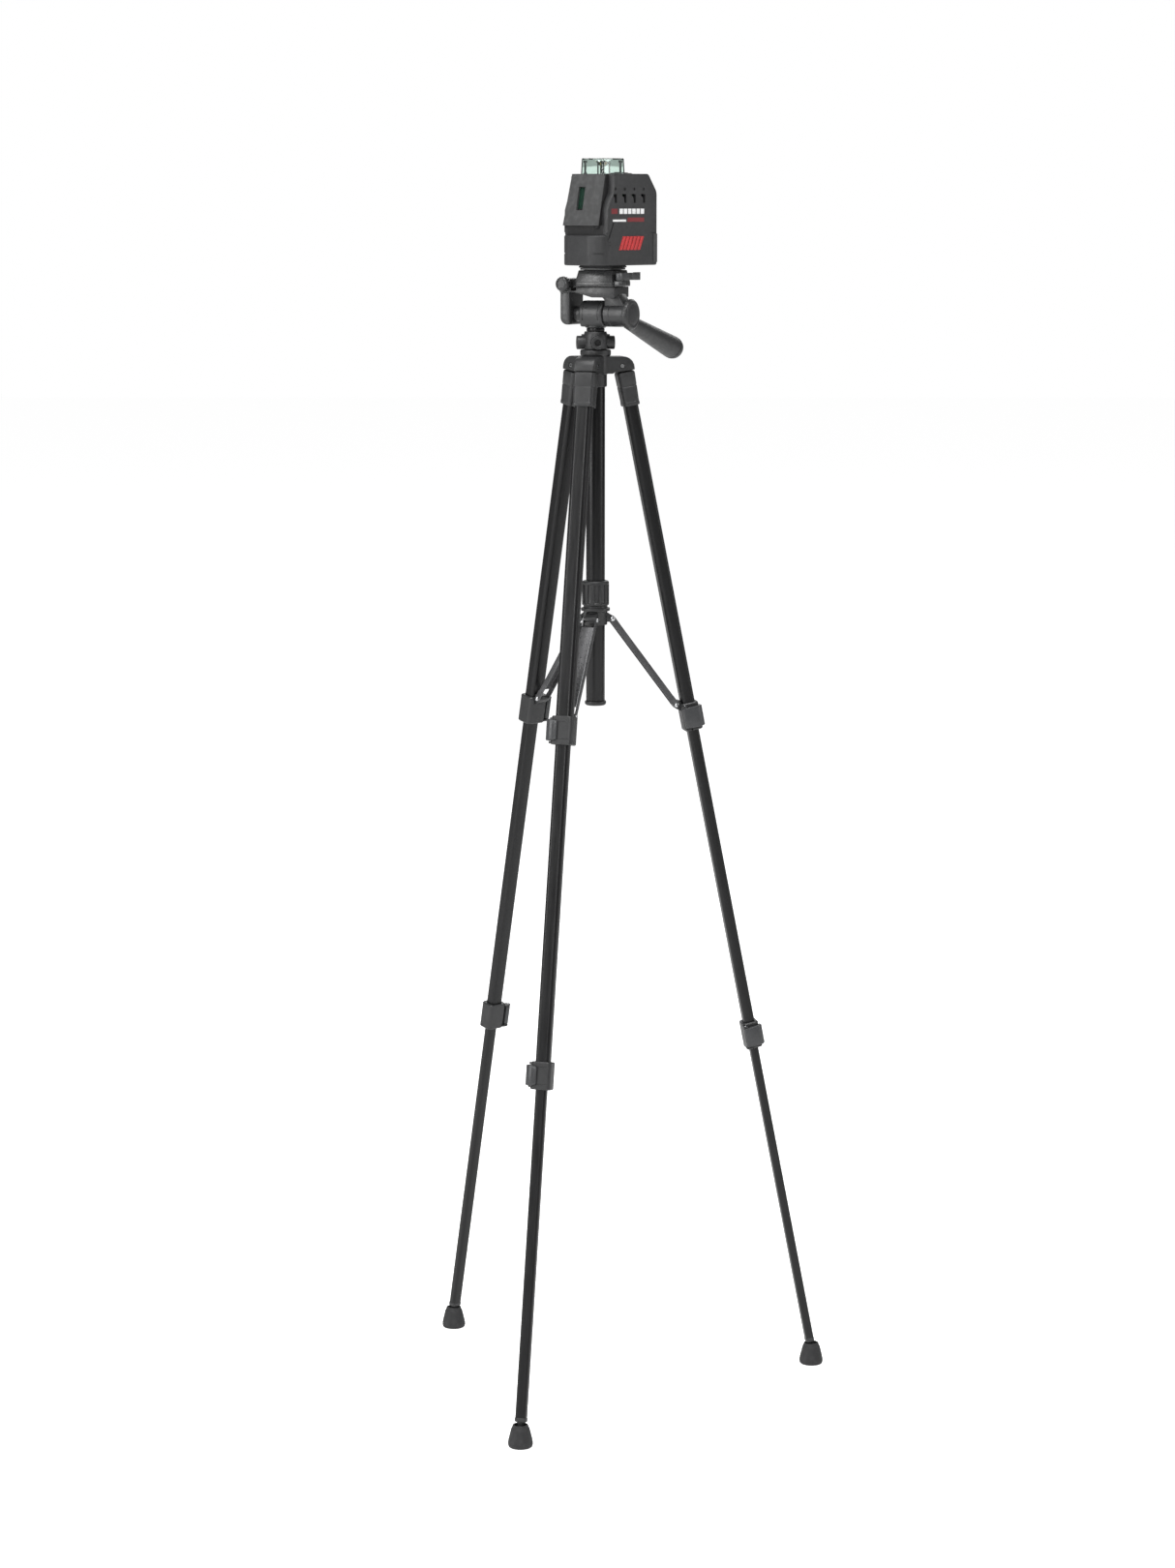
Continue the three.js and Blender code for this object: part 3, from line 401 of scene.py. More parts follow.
def rod(radius, start, end, axis="z", centre=(0, 0), steps=40, rounding=0.0):
    """A round bar from start to end along an axis, centred on the other two."""
    shape = bmesh.new()
    bmesh.ops.create_cone(
        shape, cap_ends=True, segments=steps, radius1=radius, radius2=radius, depth=end - start,
    )
    shift(shape, (0, 0, (start + end) / 2))
    if rounding:
        soften(shape, rounding, 3)
    a, b = centre
    return aimed(shape, axis, {"z": (a, b, 0), "x": (0, a, b), "y": (a, 0, b)}[axis])


def gather(first, *others):
    """Several shapes as one piece."""
    for other in others:
        carrier = bpy.data.meshes.new("carrier")
        other.to_mesh(carrier)
        other.free()
        first.from_mesh(carrier)
        bpy.data.meshes.remove(carrier)
    return first


def combined(shape, tool, operation):
    """One closed shape joined with another, or cut by it."""
    holders = []
    for part in (shape, tool):
        carrier = bpy.data.meshes.new("carrier")
        part.to_mesh(carrier)
        holders.append(bpy.data.objects.new("holder", carrier))
        scene.collection.objects.link(holders[-1])
    tool.free()
    change = holders[0].modifiers.new("change", "BOOLEAN")
    change.operation = operation
    change.solver = "EXACT"
    change.object = holders[1]
    bpy.context.view_layer.update()
    changed = holders[0].evaluated_get(bpy.context.evaluated_depsgraph_get())
    result = bpy.data.meshes.new_from_object(changed)
    shape.clear()
    shape.from_mesh(result)
    bpy.data.meshes.remove(result)
    for holder in holders:
        carrier = holder.data
        bpy.data.objects.remove(holder)
        bpy.data.meshes.remove(carrier)
    return shape


def carve(shape, *tools):
    """Cuts the tools out of the shape."""
    for tool in tools:
        combined(shape, tool, "DIFFERENCE")
    return shape


def spun(angle, frame_matrix=TRIPOD):
    return frame_matrix @ Matrix.Rotation(radians(angle), 4, "Z")


STEEL_TONE = (0.62, 0.63, 0.64)


def steel_finish(name, colour, roughness):
    """Plated steel with faint turning marks and small stains."""
    finish, tree, shader = start_finish(name, roughness, 1.0)
    where = own_grain(tree)
    stain = speckle(tree, where, 4)
    paint(tree, shader, stain, shade(colour, 0.8), shade(colour, 1.1))
    vary_gloss(tree, shader, speckle(tree, where, 1.2), roughness - 0.06, roughness + 0.1)
    raise_grain(tree, shader, speckle(tree, where, 0.3, detail=3), 0.006)
    return finish


steel = steel_finish("plated_steel", STEEL_TONE, 0.24)


def on_hood(edge):
    """The edges of an arm's rounded roof and end."""
    return all(v.co.x > 3 for v in edge.verts) and max(v.co.z for v in edge.verts) > 1103


for side, turn in LEGS:
    arm = soften(slab(HOOD, -HOOD_HALF_WIDTH, HOOD_HALF_WIDTH), 2.6, 4, 40, on_hood)
    slot_cut = slab([(18, 1090), (36.4, 1090), (36.4, 1107), (32, 1113), (20, 1113), (18, 1111)], -6, 6)
    pin_seats = gather(*[rod(3.1, y, y + 3, "y", (HINGE_RADIUS, HINGE_HEIGHT), 32) for y in (-14, 11)])
    arm = carve(arm, slot_cut, pin_seats, rod(10.4, 1090, 1120, steps=64))
    make_piece(
        arm, f"{side}_hub_arm", "tripod_centre", hub_plastic, spun(turn), ["hub_casting"],
    )
    pin = turned(
        [
            (0, -11.6), (0.9, -11.6), (0.9, -9), (1.3, -9), (1.3, -11.6), (2.0, -11.6), (2.0, 11.6),
            (1.3, 11.6), (1.3, 9), (0, 9),
        ],
        32,
    )
    pin = aimed(pin, "y", (HINGE_RADIUS, 0, HINGE_HEIGHT))
    make_piece(pin, f"{side}_hinge_pin", "tripod_centre", steel, spun(turn))

barrel = turned(
    [
        (10.3, 1084), (11.4, 1084), (12, 1084.8), (12, 1097), (15, 1099), (15, 1116), (16.2, 1118),
        (16.2, 1122), (15.4, 1123), (10.5, 1123), (10.5, 1137), (8.6, 1137), (8.6, 1100), (10.3, 1100),
    ],
    ring=True,
)
soften(barrel, 0.5, 2)


def turn_by(angle, axis="Z"):
    return Matrix.Rotation(radians(angle), 4, axis)


def set_round(count, make, start=0):
    """Copies of a part set evenly round the upright axis."""
    parts = []
    for i in range(count):
        part = make()
        part.transform(turn_by(start + 360 * i / count))
        parts.append(part)
    return parts


slits = set_round(3, lambda: slab([(7, 1126), (12, 1126), (12, 1140), (7, 1140)], -0.5, 0.5), 30)
barrel = carve(barrel, gather(*slits))
make_piece(barrel, "hub_barrel", "tripod_centre", hub_plastic, TRIPOD, ["hub_casting"])

# ---------------------------------------------------------------- column lock nut
# The twist nut that squeezes the hub's split sleeve onto the column: a moulded cone with four
# stub grips, each cored from its outer end to keep the wall even.
LOCK_NUT_TURN = -83
LOCK_NUT_HEIGHT = 1130.5

nut = turned(
    [
        (8.8, 1123.4), (12.6, 1123.4), (13, 1124), (13, 1136.6), (11.5, 1142), (8.8, 1142), (8.8, 1137.4),
        (10.8, 1137.4), (10.8, 1124.4), (8.8, 1124.4),
    ],
    72, True,
)
soften(nut, 0.5)
make_piece(nut, "column_lock_cone", "column_lock", hub_plastic, TRIPOD, ["column_lock_nut"])
for i in range(4):
    grip = turned([(0, 11), (7.1, 11), (7.1, 20), (3.4, 20), (3.4, 14), (0, 14)], 40)
    soften(grip, 0.7, 3, pick=lambda e: max(v.co.z for v in e.verts) > 18)
    grip = aimed(grip, "x", (0, 0, LOCK_NUT_HEIGHT))
    rib = soften(block(10, 15, -1.4, 1.4, 1136, 1139.2), 0.5)
    make_piece(
        gather(grip, rib), f"column_lock_grip_{i + 1}", "column_lock", hub_plastic,
        spun(LOCK_NUT_TURN + 90 * i), ["column_lock_nut"],
    )

# ---------------------------------------------------------------- brace collar
# The collar that the braces hang from slides on the outer tube: a ribbed sleeve above, a
# groove and a rim, and three lugs below, moulded in one.
COLLAR_PIVOT_RADIUS, COLLAR_PIVOT_HEIGHT = 17, 838.5
LUG_HALF_WIDTH = 6.4

sleeve = turned(
    [
        (10.3, 832), (12.5, 832), (12.5, 846), (15.4, 847), (15.4, 850), (12.8, 850.3), (12.8, 852.6),
        (14.4, 853.3), (14.4, 855.2), (13.3, 855.8), (13.3, 874.8), (14.4, 875.4), (14.4, 877.4),
        (13.2, 879), (10.3, 879),
    ],
    72, True,
)
soften(sleeve, 0.45)
ribs = set_round(12, lambda: soften(block(12.9, 14.5, -1.1, 1.1, 855, 875.6), 0.4, 2), -69)
lugs = []
for side, turn in LEGS:
    lug = slab(
        [(10.8, 835), (17, 835), (19.4, 836), (20.5, 838.5), (19.4, 841), (17, 842), (10.8, 846)],
        -LUG_HALF_WIDTH, LUG_HALF_WIDTH,
    )
    soften(lug, 0.6, 2)
    lug.transform(turn_by(turn))
    lugs.append(lug)
make_piece(
    gather(sleeve, *ribs, *lugs), "ribbed_brace_collar", "brace_collar", hub_plastic, TRIPOD,
    ["brace_collar"],
)

# ---------------------------------------------------------------- legs
# Each leg is three rounded-oblong tubes that slide into one another, black anodised like the
# column. A moulded casting caps the top tube and turns on the hub's pin.
SPREAD = 11.2
TUBE_OFFSET = 2.8
SLIDE_FIT = 0.6
UPPER_BORE, MIDDLE_BORE, LOWER_BORE = (18, 14.5, 4.7), (15.4, 11.9, 4.0), (12, 9.2, 3.2)
TUBES = (
    ("upper", 18, 14.5, 4.5, 1.0, 13.5, 380), ("middle", 15.4, 11.9, 3.8, 1.0, 352, 740),
    ("lower", 12, 9.2, 3.0, 0.9, 716, 1097),
)


def leg_frame(turn):
    """The hinge pin is the origin, x points outwards and the leg runs down z."""
    return spun(turn) @ Matrix.Translation((HINGE_RADIUS, 0, HINGE_HEIGHT)) @ turn_by(-SPREAD, "Y")


def rounded_face(depth, width, corner, height, segments=7):
    """A flat oblong with round corners, centred on the tube's own line."""
    shape = bmesh.new()
    bmesh.ops.create_grid(shape, x_segments=1, y_segments=1, size=0.5)
    bmesh.ops.scale(shape, vec=(depth, width, 1), verts=shape.verts[:])
    shift(shape, (TUBE_OFFSET, 0, height))
    bmesh.ops.bevel(
        shape, geom=shape.verts[:], offset=corner, offset_type="OFFSET", segments=segments, profile=0.5,
        affect="VERTICES", clamp_overlap=True, material=-1,
    )
    return shape


def grown_face(shape, faces, height, scale=1.0, aside=0.0):
    """Pulls faces to a new height and size, and gives the moved faces back."""
    grown = bmesh.ops.extrude_face_region(shape, geom=faces)
    verts = [v for v in grown["geom"] if isinstance(v, bmesh.types.BMVert)]
    middle = sum((v.co for v in verts), Vector()) / len(verts)
    bmesh.ops.scale(shape, vec=(scale, scale, 1), space=Matrix.Translation(-middle), verts=verts)
    bmesh.ops.translate(shape, vec=(aside, 0, height - middle.z), verts=verts)
    return [f for f in grown["geom"] if isinstance(f, bmesh.types.BMFace)]


def stack_faces(shape, *steps):
    """Grows a flat face through heights, each with its change of size and shift."""
    face = shape.faces[:]
    for step in steps:
        face = grown_face(shape, face, *step)
    return outward(shape)


def oblong_tube(width, depth, corner, wall, top, foot):
    shape = rounded_face(depth, width, corner, -foot)
    inner = shape.faces[:]
    bmesh.ops.inset_region(shape, faces=inner, thickness=wall, use_even_offset=True, use_boundary=True)
    bmesh.ops.delete(shape, geom=inner, context="FACES")
    grown_face(shape, shape.faces[:], -top)
    return outward(shape)


def solid_oblong(depth, width, corner, low, high, lip=0.8, lip_scale=0.94):
    """An upright block of rounded section whose two ends draw in a little."""
    shape = rounded_face(depth * lip_scale, width * lip_scale, corner * lip_scale, low)
    return stack_faces(shape, (low + lip, 1 / lip_scale), (high - lip,), (high, lip_scale))


def bore(size, low, high):
    """Room for a tube of that section, with the sliding fit."""
    width, depth, corner = size
    return solid_oblong(depth + SLIDE_FIT, width + SLIDE_FIT, corner, low, high, 0.1, 0.999)


def leg_top_casting():
    """Tapered body with a seam a third of the way down and a collar bead at its lower end."""
    shape = rounded_face(17.0, 21.6, 3.8, -43)
    stack_faces(
        shape,
        (-42.2, 1.035), (-39.4, 1.0), (-38.8, 0.978), (-23.2, 1.055, 0.12), (-22.7, 0.972), (-21.9, 1.0),
        (-21.4, 1.032), (-9.4, 1.035, 0.1), (-7.6, 0.965), (-7.0, 0.93),
    )
    socket = bore(UPPER_BORE, -50, -13.2)
    tongue = gather(
        rod(6, -5.5, 5.5, "y", rounding=0.5),
        block(-5, 5.4, -5.5, 5.5, -9, -1),
    )
    return gather(carve(shape, socket), tongue)


for side, turn in LEGS:
    for part, width, depth, corner, wall, top, foot in TUBES:
        tube = oblong_tube(width, depth, corner, wall, top, foot)
        make_piece(
            tube, f"{side}_{part}_tube", f"{side}_leg_{part}", anodised, leg_frame(turn),
            [f"{side}_leg_{part}_tube"],
        )
    make_piece(
        leg_top_casting(), f"{side}_leg_cap", f"{side}_leg_upper", hub_plastic, leg_frame(turn),
        [f"{side}_leg_top_casting"],
    )

# ---------------------------------------------------------------- leg clamps
# A nylon collar is fixed on each tube's lower end, and a flip lever at its side turns on a
# steel pin and squeezes the collar's slit onto the next tube.
UPPER_CLAMP = (24, 19.5, 30, 382.2)
LOWER_CLAMP = (22, 17.6, 29, 742.1)
LEVER_HINGE_X = -4
LEVER_OUT = 3.4
LEG_PIVOT_X, LEG_PIVOT_Z = -10.75, -366.9
LEVER_TONE = (0.04, 0.041, 0.043)

lever_plastic = moulded_finish("lever_nylon", LEVER_TONE, 0.34, 0.7, 0.01)


def clamp_collar(clamp, seat_size, grip_size, with_lug):
    width, depth, height, at = clamp
    low, high = -at - height / 2, -at + height / 2
    body = solid_oblong(depth, width, 4, low, high, 1.0, 0.93)
    seat = bore(seat_size, -at + 1.9, high + 5)
    grip = bore(grip_size, low - 5, -at + 4)
    slit = block(-3.0, 1.0, -width / 2 - 2, -width / 2 + 4, low - 1, -at - 1)
    face_x = TUBE_OFFSET + depth / 2
    groove = gather(
        block(face_x - 0.5, face_x + 1, -4.5, width, -at + 8.6, -at + 9.4),
        block(face_x - 0.5, face_x + 1, -4.5, width, -at - 9.4, -at - 8.6),
    )
    body = carve(body, seat, grip, slit, groove)
    hinge_y = -width / 2 - LEVER_OUT
    ears = []
    for z0, z1 in ((high - 3.4, high - 1.4), (low + 1.4, low + 3.4)):
        knuckle = rod(3.1, z0, z1, centre=(LEVER_HINGE_X, hinge_y), steps=32, rounding=0.4)
        neck = block(LEVER_HINGE_X - 3.1, LEVER_HINGE_X + 3.1, hinge_y, -width / 2 + 2, z0 + 0.1, z1 - 0.1)
        ears += [knuckle, neck]
    parts = [body, *ears]
    if with_lug:
        lug = slab(
            [
                (-10, LEG_PIVOT_Z + 3.5), (LEG_PIVOT_X - 1.6, LEG_PIVOT_Z + 3.1),
                (LEG_PIVOT_X - 3.3, LEG_PIVOT_Z + 0.8), (LEG_PIVOT_X - 3.3, LEG_PIVOT_Z - 1.2),
                (LEG_PIVOT_X - 1.6, LEG_PIVOT_Z - 3.8), (-5.5, LEG_PIVOT_Z - 9),
                (-5.5, LEG_PIVOT_Z + 3.5),
            ],
            -LUG_HALF_WIDTH, LUG_HALF_WIDTH,
        )
        parts.append(soften(lug, 0.6, 2))
    return gather(*parts)


def clamp_lever(clamp):
    """A curved paddle: thick at the hinge, wrapping the collar's outer corner, thin at its tip."""
    width, depth, height, at = clamp
    low, high = -at - height / 2 + 3.8, -at + height / 2 - 3.8
    flank = -width / 2 - 0.4
    outer = TUBE_OFFSET + depth / 2 + 0.4
    paddle = slab(
        [
            (LEVER_HINGE_X - 1.6, flank - 0.5), (LEVER_HINGE_X + 3, flank), (outer - 4.4, flank),
            (outer - 2.2, flank + 0.5), (outer - 0.5, flank + 2.2), (outer, flank + 4.4),
            (outer + 0.2, flank + 8), (outer + 1.9, flank + 8.2), (outer + 2.5, flank + 5),
            (outer + 2.2, flank + 0.8), (outer + 0.9, flank - 2.4), (outer - 1.6, flank - 4.4),
            (outer - 4.6, flank - 5.3), (LEVER_HINGE_X + 1, flank - 6.0),
            (LEVER_HINGE_X - 1.6, flank - 5.6), (LEVER_HINGE_X - 3.1, flank - 3.9),
            (LEVER_HINGE_X - 2.9, flank - 1.9),
        ],
        low, high, "z",
    )
    middle = (low + high) / 2
    for vert in paddle.verts:
        if vert.co.x > outer - 1 and vert.co.y > flank + 4:
            vert.co.z = middle + (vert.co.z - middle) * 0.86
    soften(paddle, 0.9, 3, 60)
    ridges = [
        block(
            outer + 1.4, outer + 2.6, flank + 3.1 + 1.5 * i, flank + 3.8 + 1.5 * i, middle - 7, middle + 7,
        )
        for i in range(3)
    ]
    return gather(paddle, *[soften(ridge, 0.25, 1) for ridge in ridges])


def lever_pin(clamp):
    width, _, height, at = clamp
    return rod(
        1.2, -at - height / 2 + 1.2, -at + height / 2 - 1.2, centre=(LEVER_HINGE_X, -width / 2 - LEVER_OUT),
        steps=24, rounding=0.3,
    )


for side, turn in LEGS:
    for level, clamp, seat, grip, body in (
        ("upper", UPPER_CLAMP, UPPER_BORE, MIDDLE_BORE, "upper"),
        ("lower", LOWER_CLAMP, MIDDLE_BORE, LOWER_BORE, "middle"),
    ):
        collar = clamp_collar(clamp, seat, grip, level == "upper")
        make_piece(
            collar, f"{side}_{level}_clamp_collar", f"{side}_leg_{body}", hub_plastic, leg_frame(turn),
            [f"{side}_leg_{level}_clamp"],
        )
        make_piece(
            clamp_lever(clamp), f"{side}_{level}_flip_lever", f"{side}_{level}_lever", lever_plastic,
            leg_frame(turn),
            [f"{side}_leg_{level}_lever"],
        )
        make_piece(
            lever_pin(clamp), f"{side}_{level}_lever_pin", f"{side}_leg_{body}", steel, leg_frame(turn),
        )

# ---------------------------------------------------------------- feet
# The lowest tube ends in a pressed-in plug with a ball, and a moulded rubber foot snaps over
# the ball and stands flat on the floor whatever the leg's angle.
BALL_RADIUS, BALL_HEIGHT = 6.2, 17
FOOT_CENTRE = (HINGE_HEIGHT - BALL_HEIGHT + TUBE_OFFSET * sin(radians(SPREAD))) / cos(radians(SPREAD))
FOOT_TONE = (0.026, 0.026, 0.027)


def rubber_finish(name, colour, roughness=0.78, size=0.6, where_from=own_grain):
    """Matt rubber with a fine open grain and a little dust."""
    finish, tree, shader = start_finish(name, roughness, specular=0.35)
    where = where_from(tree)
    dust = speckle(tree, where, 6, detail=5)
    paint(tree, shader, dust, colour, shade(colour, 1.9), (0, 0.6, 0.45, 0.75))
    vary_gloss(tree, shader, speckle(tree, where, 3), roughness - 0.08, roughness + 0.08)
    raise_grain(tree, shader, speckle(tree, where, size, detail=4), 0.03)
    return finish


foot_rubber = rubber_finish("foot_rubber", FOOT_TONE, 0.66)

for side, turn in LEGS:
    plug = rounded_face(8.2, 11.0, 2.6, -1101.4)
    stack_faces(plug, (-1100.8, 1.16), (-1097.6, 1.0), (-1097.0, 0.93), (-1094, 0.78))
    neck = turned([(0, -FOOT_CENTRE), (3.4, -FOOT_CENTRE), (3.4, -1104), (4.6, -1101), (0, -1101)], 32)
    ball = bmesh.new()
    bmesh.ops.create_uvsphere(ball, u_segments=32, v_segments=20, radius=BALL_RADIUS)
    stem = shift(gather(neck, shift(ball, (0, 0, -FOOT_CENTRE))), (TUBE_OFFSET, 0, 0))
    make_piece(
        gather(plug, stem), f"{side}_ball_plug", f"{side}_leg_lower", hub_plastic, leg_frame(turn),
    )

    low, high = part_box(f"{side}_foot")
    foot_centre = ((low.x + high.x) / 2, (low.y + high.y) / 2, low.z)
    foot_place = Matrix.Translation(foot_centre) @ Matrix.Scale(0.001, 4)
    foot = turned(
        [
            (0, 0), (9.6, 0), (11.4, 0.25), (12.5, 1.2), (13, 2.8), (12.95, 5), (12.4, 8.6), (11.6, 12),
            (10.6, 16), (9.7, 19.6), (9.3, 20.4), (8.9, 20.7), (8.6, 21.2), (8.5, 22.4), (8.0, 23.6),
            (7.2, 24), (6.4, 23.8), (6.1, 23), (5.7, 19), (6.9, 16.4), (6.4, 13), (4.4, 10.9), (0, 10.2),
        ],
        72,
    )
    bars = set_round(24, lambda: soften(block(12.2, 13.0, -0.5, 0.5, 3.2, 6.2), 0.2, 1))
    make_piece(
        gather(foot, *bars), f"{side}_rubber_foot", f"{side}_foot", foot_rubber, foot_place,
        [f"{side}_foot"],
    )

# ---------------------------------------------------------------- braces
# Each brace is a strip of sheet bent into a shallow channel, with round ears that turn on
# bright rivets through the collar's lug and the lug on the leg's clamp.
BRACE_HALF_WIDTH = 8
BRACE_SHEET = 1.1
EAR_RADIUS = 3.2
# The brace tone is a lighter grey than the satin black paint: painted reflection of the overhead soft box,
# as seen on the front brace.
BRACE_PAINTED_REFLECTION_TONE = (0.1, 0.1, 0.103)


def sheet_finish(name, colour, roughness):
    """Pressed sheet, painted thinly in satin black: rolling lines show through along its length."""
    finish, tree, shader = start_finish(name, roughness, 0.55)
    where = own_grain(tree)
    paint(tree, shader, speckle(tree, where, 9, (1, 1, 3)), shade(colour, 0.8), shade(colour, 1.25))
    vary_gloss(tree, shader, speckle(tree, where, 2.4), roughness - 0.05, roughness + 0.08)
    raise_grain(tree, shader, speckle(tree, where, 0.4, (1, 1, 30), 3), 0.01)
    return finish


brace_sheet_painted_reflection = sheet_finish("brace_sheet_painted_reflection", BRACE_PAINTED_REFLECTION_TONE, 0.3)
pivot = turn_by(-SPREAD, "Y") @ Vector((LEG_PIVOT_X, 0, LEG_PIVOT_Z))
low_x, low_z = pivot.x + HINGE_RADIUS, pivot.z + HINGE_HEIGHT
brace_run = Vector((COLLAR_PIVOT_RADIUS - low_x, COLLAR_PIVOT_HEIGHT - low_z))
BRACE_LENGTH = brace_run.length
brace_lean = atan2(brace_run.x, brace_run.y)
WEB_INSET = 11


def whole(shape):
    return shape.verts[:] + shape.edges[:] + shape.faces[:]


def arc(centre_a, centre_b, radius, start, end, steps=10):
    """Points on an arc, angles in degrees."""
    return [
        (
            centre_a + radius * cos(radians(start + (end - start) * i / steps)),
            centre_b + radius * sin(radians(start + (end - start) * i / steps)),
        )
        for i in range(steps + 1)
    ]


ears_outline = arc(0, 0, EAR_RADIUS, 180, 360, 8) + arc(0, BRACE_LENGTH, EAR_RADIUS, 0, 180, 8)
for side, turn in LEGS:
    channel = slab(ears_outline, -BRACE_HALF_WIDTH + 0.5, BRACE_HALF_WIDTH - 0.5)
    web = [f for f in channel.faces if f.normal.x > 0.99]
    ears = [f for f in channel.faces if abs(f.normal.y) > 0.99]
    bmesh.ops.delete(channel, geom=[f for f in channel.faces if f not in web + ears], context="FACES")
    for cut_z in (WEB_INSET, BRACE_LENGTH - WEB_INSET):
        bmesh.ops.bisect_plane(channel, geom=whole(channel), plane_co=(0, 0, cut_z), plane_no=(0, 0, 1))
    spare = [
        f for f in channel.faces
        if f.normal.x > 0.99 and not WEB_INSET < f.calc_center_median().z < BRACE_LENGTH - WEB_INSET
    ]
    bmesh.ops.delete(channel, geom=spare, context="FACES")
    soften(channel, 1.6, 4, 57)
    bmesh.ops.solidify(channel, geom=channel.faces[:], thickness=BRACE_SHEET)
    outward(channel)
    brace_place = spun(turn) @ Matrix.Translation((low_x, 0, low_z)) @ Matrix.Rotation(brace_lean, 4, "Y")
    make_piece(
        channel, f"{side}_brace_channel", f"{side}_brace", brace_sheet_painted_reflection, brace_place, [f"{side}_brace"],
    )
    rivets = []
    for z in (0, BRACE_LENGTH):
        rivet = turned(
            [
                (0, -9.3), (1.3, -9.2), (2.3, -8.6), (2.6, -7.9), (1.7, -7.9), (1.7, 7.9), (2.6, 7.9),
                (2.3, 8.6), (1.3, 9.2), (0, 9.3),
            ],
            28,
        )
        rivets.append(aimed(rivet, "y", (0, 0, z)))
    make_piece(
        gather(*rivets), f"{side}_brace_rivets", f"{side}_brace", steel, brace_place,
    )

# ---------------------------------------------------------------- pan head
# The head is moulded nylon: a cheek block turns on the column's spigot, and the tilt bracket
# swings on it about a steel axle. A round cap at the handle side locks the tilt.
TILT_AXIS_TURN = -28
TILT_HEIGHT = 1160
FLIP_U, FLIP_Z = -27, 1191.5
SCREW_U = 8.5
HANDLE_U, HANDLE_DROP, HANDLE_LENGTH = 28, 16.5, 139
HEAD_TONE = (0.024, 0.0243, 0.025)
HEAD = spun(TILT_AXIS_TURN)

head_plastic = moulded_finish("head_nylon", HEAD_TONE, 0.33, 0.5, 0.012)
platform_plastic = moulded_finish("platform_nylon", shade(HEAD_TONE, 1.15), 0.24, 0.5, 0.006)


def head_piece(shape, name, body, finish, stands_for=()):
    """A piece in the head's frame: x runs along the tilt axle."""
    return make_piece(shape, name, body, finish, HEAD, stands_for)


cheek = slab(
    [(-9.5, 1147), (9.5, 1147), (13.5, 1153)] + arc(0, TILT_HEIGHT, 14.5, 0, 180, 24) + [(-13.5, 1153)],
    -13, 14, "x",
)
soften(cheek, 1.2, 3, 40)
pan_ring = turned(
    [
        (0, 1145.9), (10.4, 1145.9), (11, 1146.6), (11, 1148.2), (10.4, 1148.7), (10.4, 1149.2),
        (11, 1149.7), (11, 1153), (0, 1153),
    ]
)
TILT_AXLE = (0, TILT_HEIGHT)
outer_discs, inner_discs = (
    gather(*[rod(radius, x - half, x + half, "x", TILT_AXLE, 64) for x in (-8.5, 9.5)])
    for radius, half in ((14.9, 0.35), (14.0, 0.5))
)
cheek = carve(cheek, carve(outer_discs, inner_discs))
head_piece(
    gather(cheek, pan_ring, rod(8, -21.9, 34, "x", TILT_AXLE, 48)), "pan_cheek_block", "pan", head_plastic,
    ["pan_base"],
)
head_piece(rod(4, -32, -20, "x", TILT_AXLE, 32, 0.6), "tilt_axle_end", "pan", steel)

bracket_arm = slab(
    [(-22.5, 1188), (-22.5, 1151)] + arc(-24.5, 1151, 2, 0, -90, 5)[1:]
    + arc(-26.6, 1156.6, 7.6, -90, -180, 8) + [(-34.2, 1186), (-33, 1188)],
    -15.6, 15.6,
)
soften(bracket_arm, 2.2, 4, 50)
bracket_web = slab(
    [
        (-34.2, 1183.4), (-32, 1181.2), (-23, 1183.4), (-16, 1182.8), (-6, 1180.4), (4, 1177.8),
        (31, 1177.8), (31, 1188.8), (-14.6, 1188.8), (-14.6, 1184.6), (-34.2, 1184.6),
    ],
    -16.4, 16.4,
)


def at_web_corner(edge):
    """The upright edges at the web's two ends."""
    first, second = edge.verts[0].co.x, edge.verts[1].co.x
    return abs(first - second) < 0.1 and abs(first + 1.6) > 32


soften(bracket_web, 3.6, 5, 60, at_web_corner)
soften(bracket_web, 0.7, 2, 50)
bracket_neck = slab(
    [(6, 1182), (14.6, 1175.4), (14.6, 1160), (38.4, 1160), (38.4, 1170), (31, 1182)], -9, 9,
)
soften(bracket_neck, 1.6, 3, 40)
tilt_barrel = turned(
    [
        (8.3, 14.6), (12.4, 14.6), (13, 15.3), (13, 21), (12.6, 21.4), (12.6, 22), (13, 22.4), (13, 37.6),
        (12.4, 38.4), (8.3, 38.4),
    ],
    72, True,
)
tilt_barrel = aimed(tilt_barrel, "x", (0, 0, TILT_HEIGHT))
clearance = rod(8.3, 14, 45, "x", TILT_AXLE, 48)
bracket_body = carve(bracket_neck, clearance)
flip_ears = []
for v0, v1 in ((-16.5, -12.3), (12.3, 16.5)):
    ear = slab(arc(FLIP_U, FLIP_Z, 6.3, 0, 180, 16) + [(FLIP_U - 6.3, 1183), (FLIP_U + 6.3, 1183)], v0, v1)
    flip_ears.append(soften(ear, 0.6, 2, 50))
handle_boss = turned([(4.3, 9), (6.4, 9), (7, 10), (7, 14.6), (6.4, 15.6), (4.3, 15.6)], 40, True)
HANDLE_BELOW_AXLE = 2
handle_root = (HANDLE_U, 0, TILT_HEIGHT - HANDLE_BELOW_AXLE)
handle_turn = Matrix.Translation(handle_root) @ turn_by(-90 - HANDLE_DROP, "X")
handle_boss.transform(handle_turn)
head_piece(
    gather(bracket_arm, bracket_web, bracket_body, tilt_barrel, *flip_ears, handle_boss),
    "tilt_bracket_moulding", "tilt", head_plastic, ["tilt_bracket"],
)

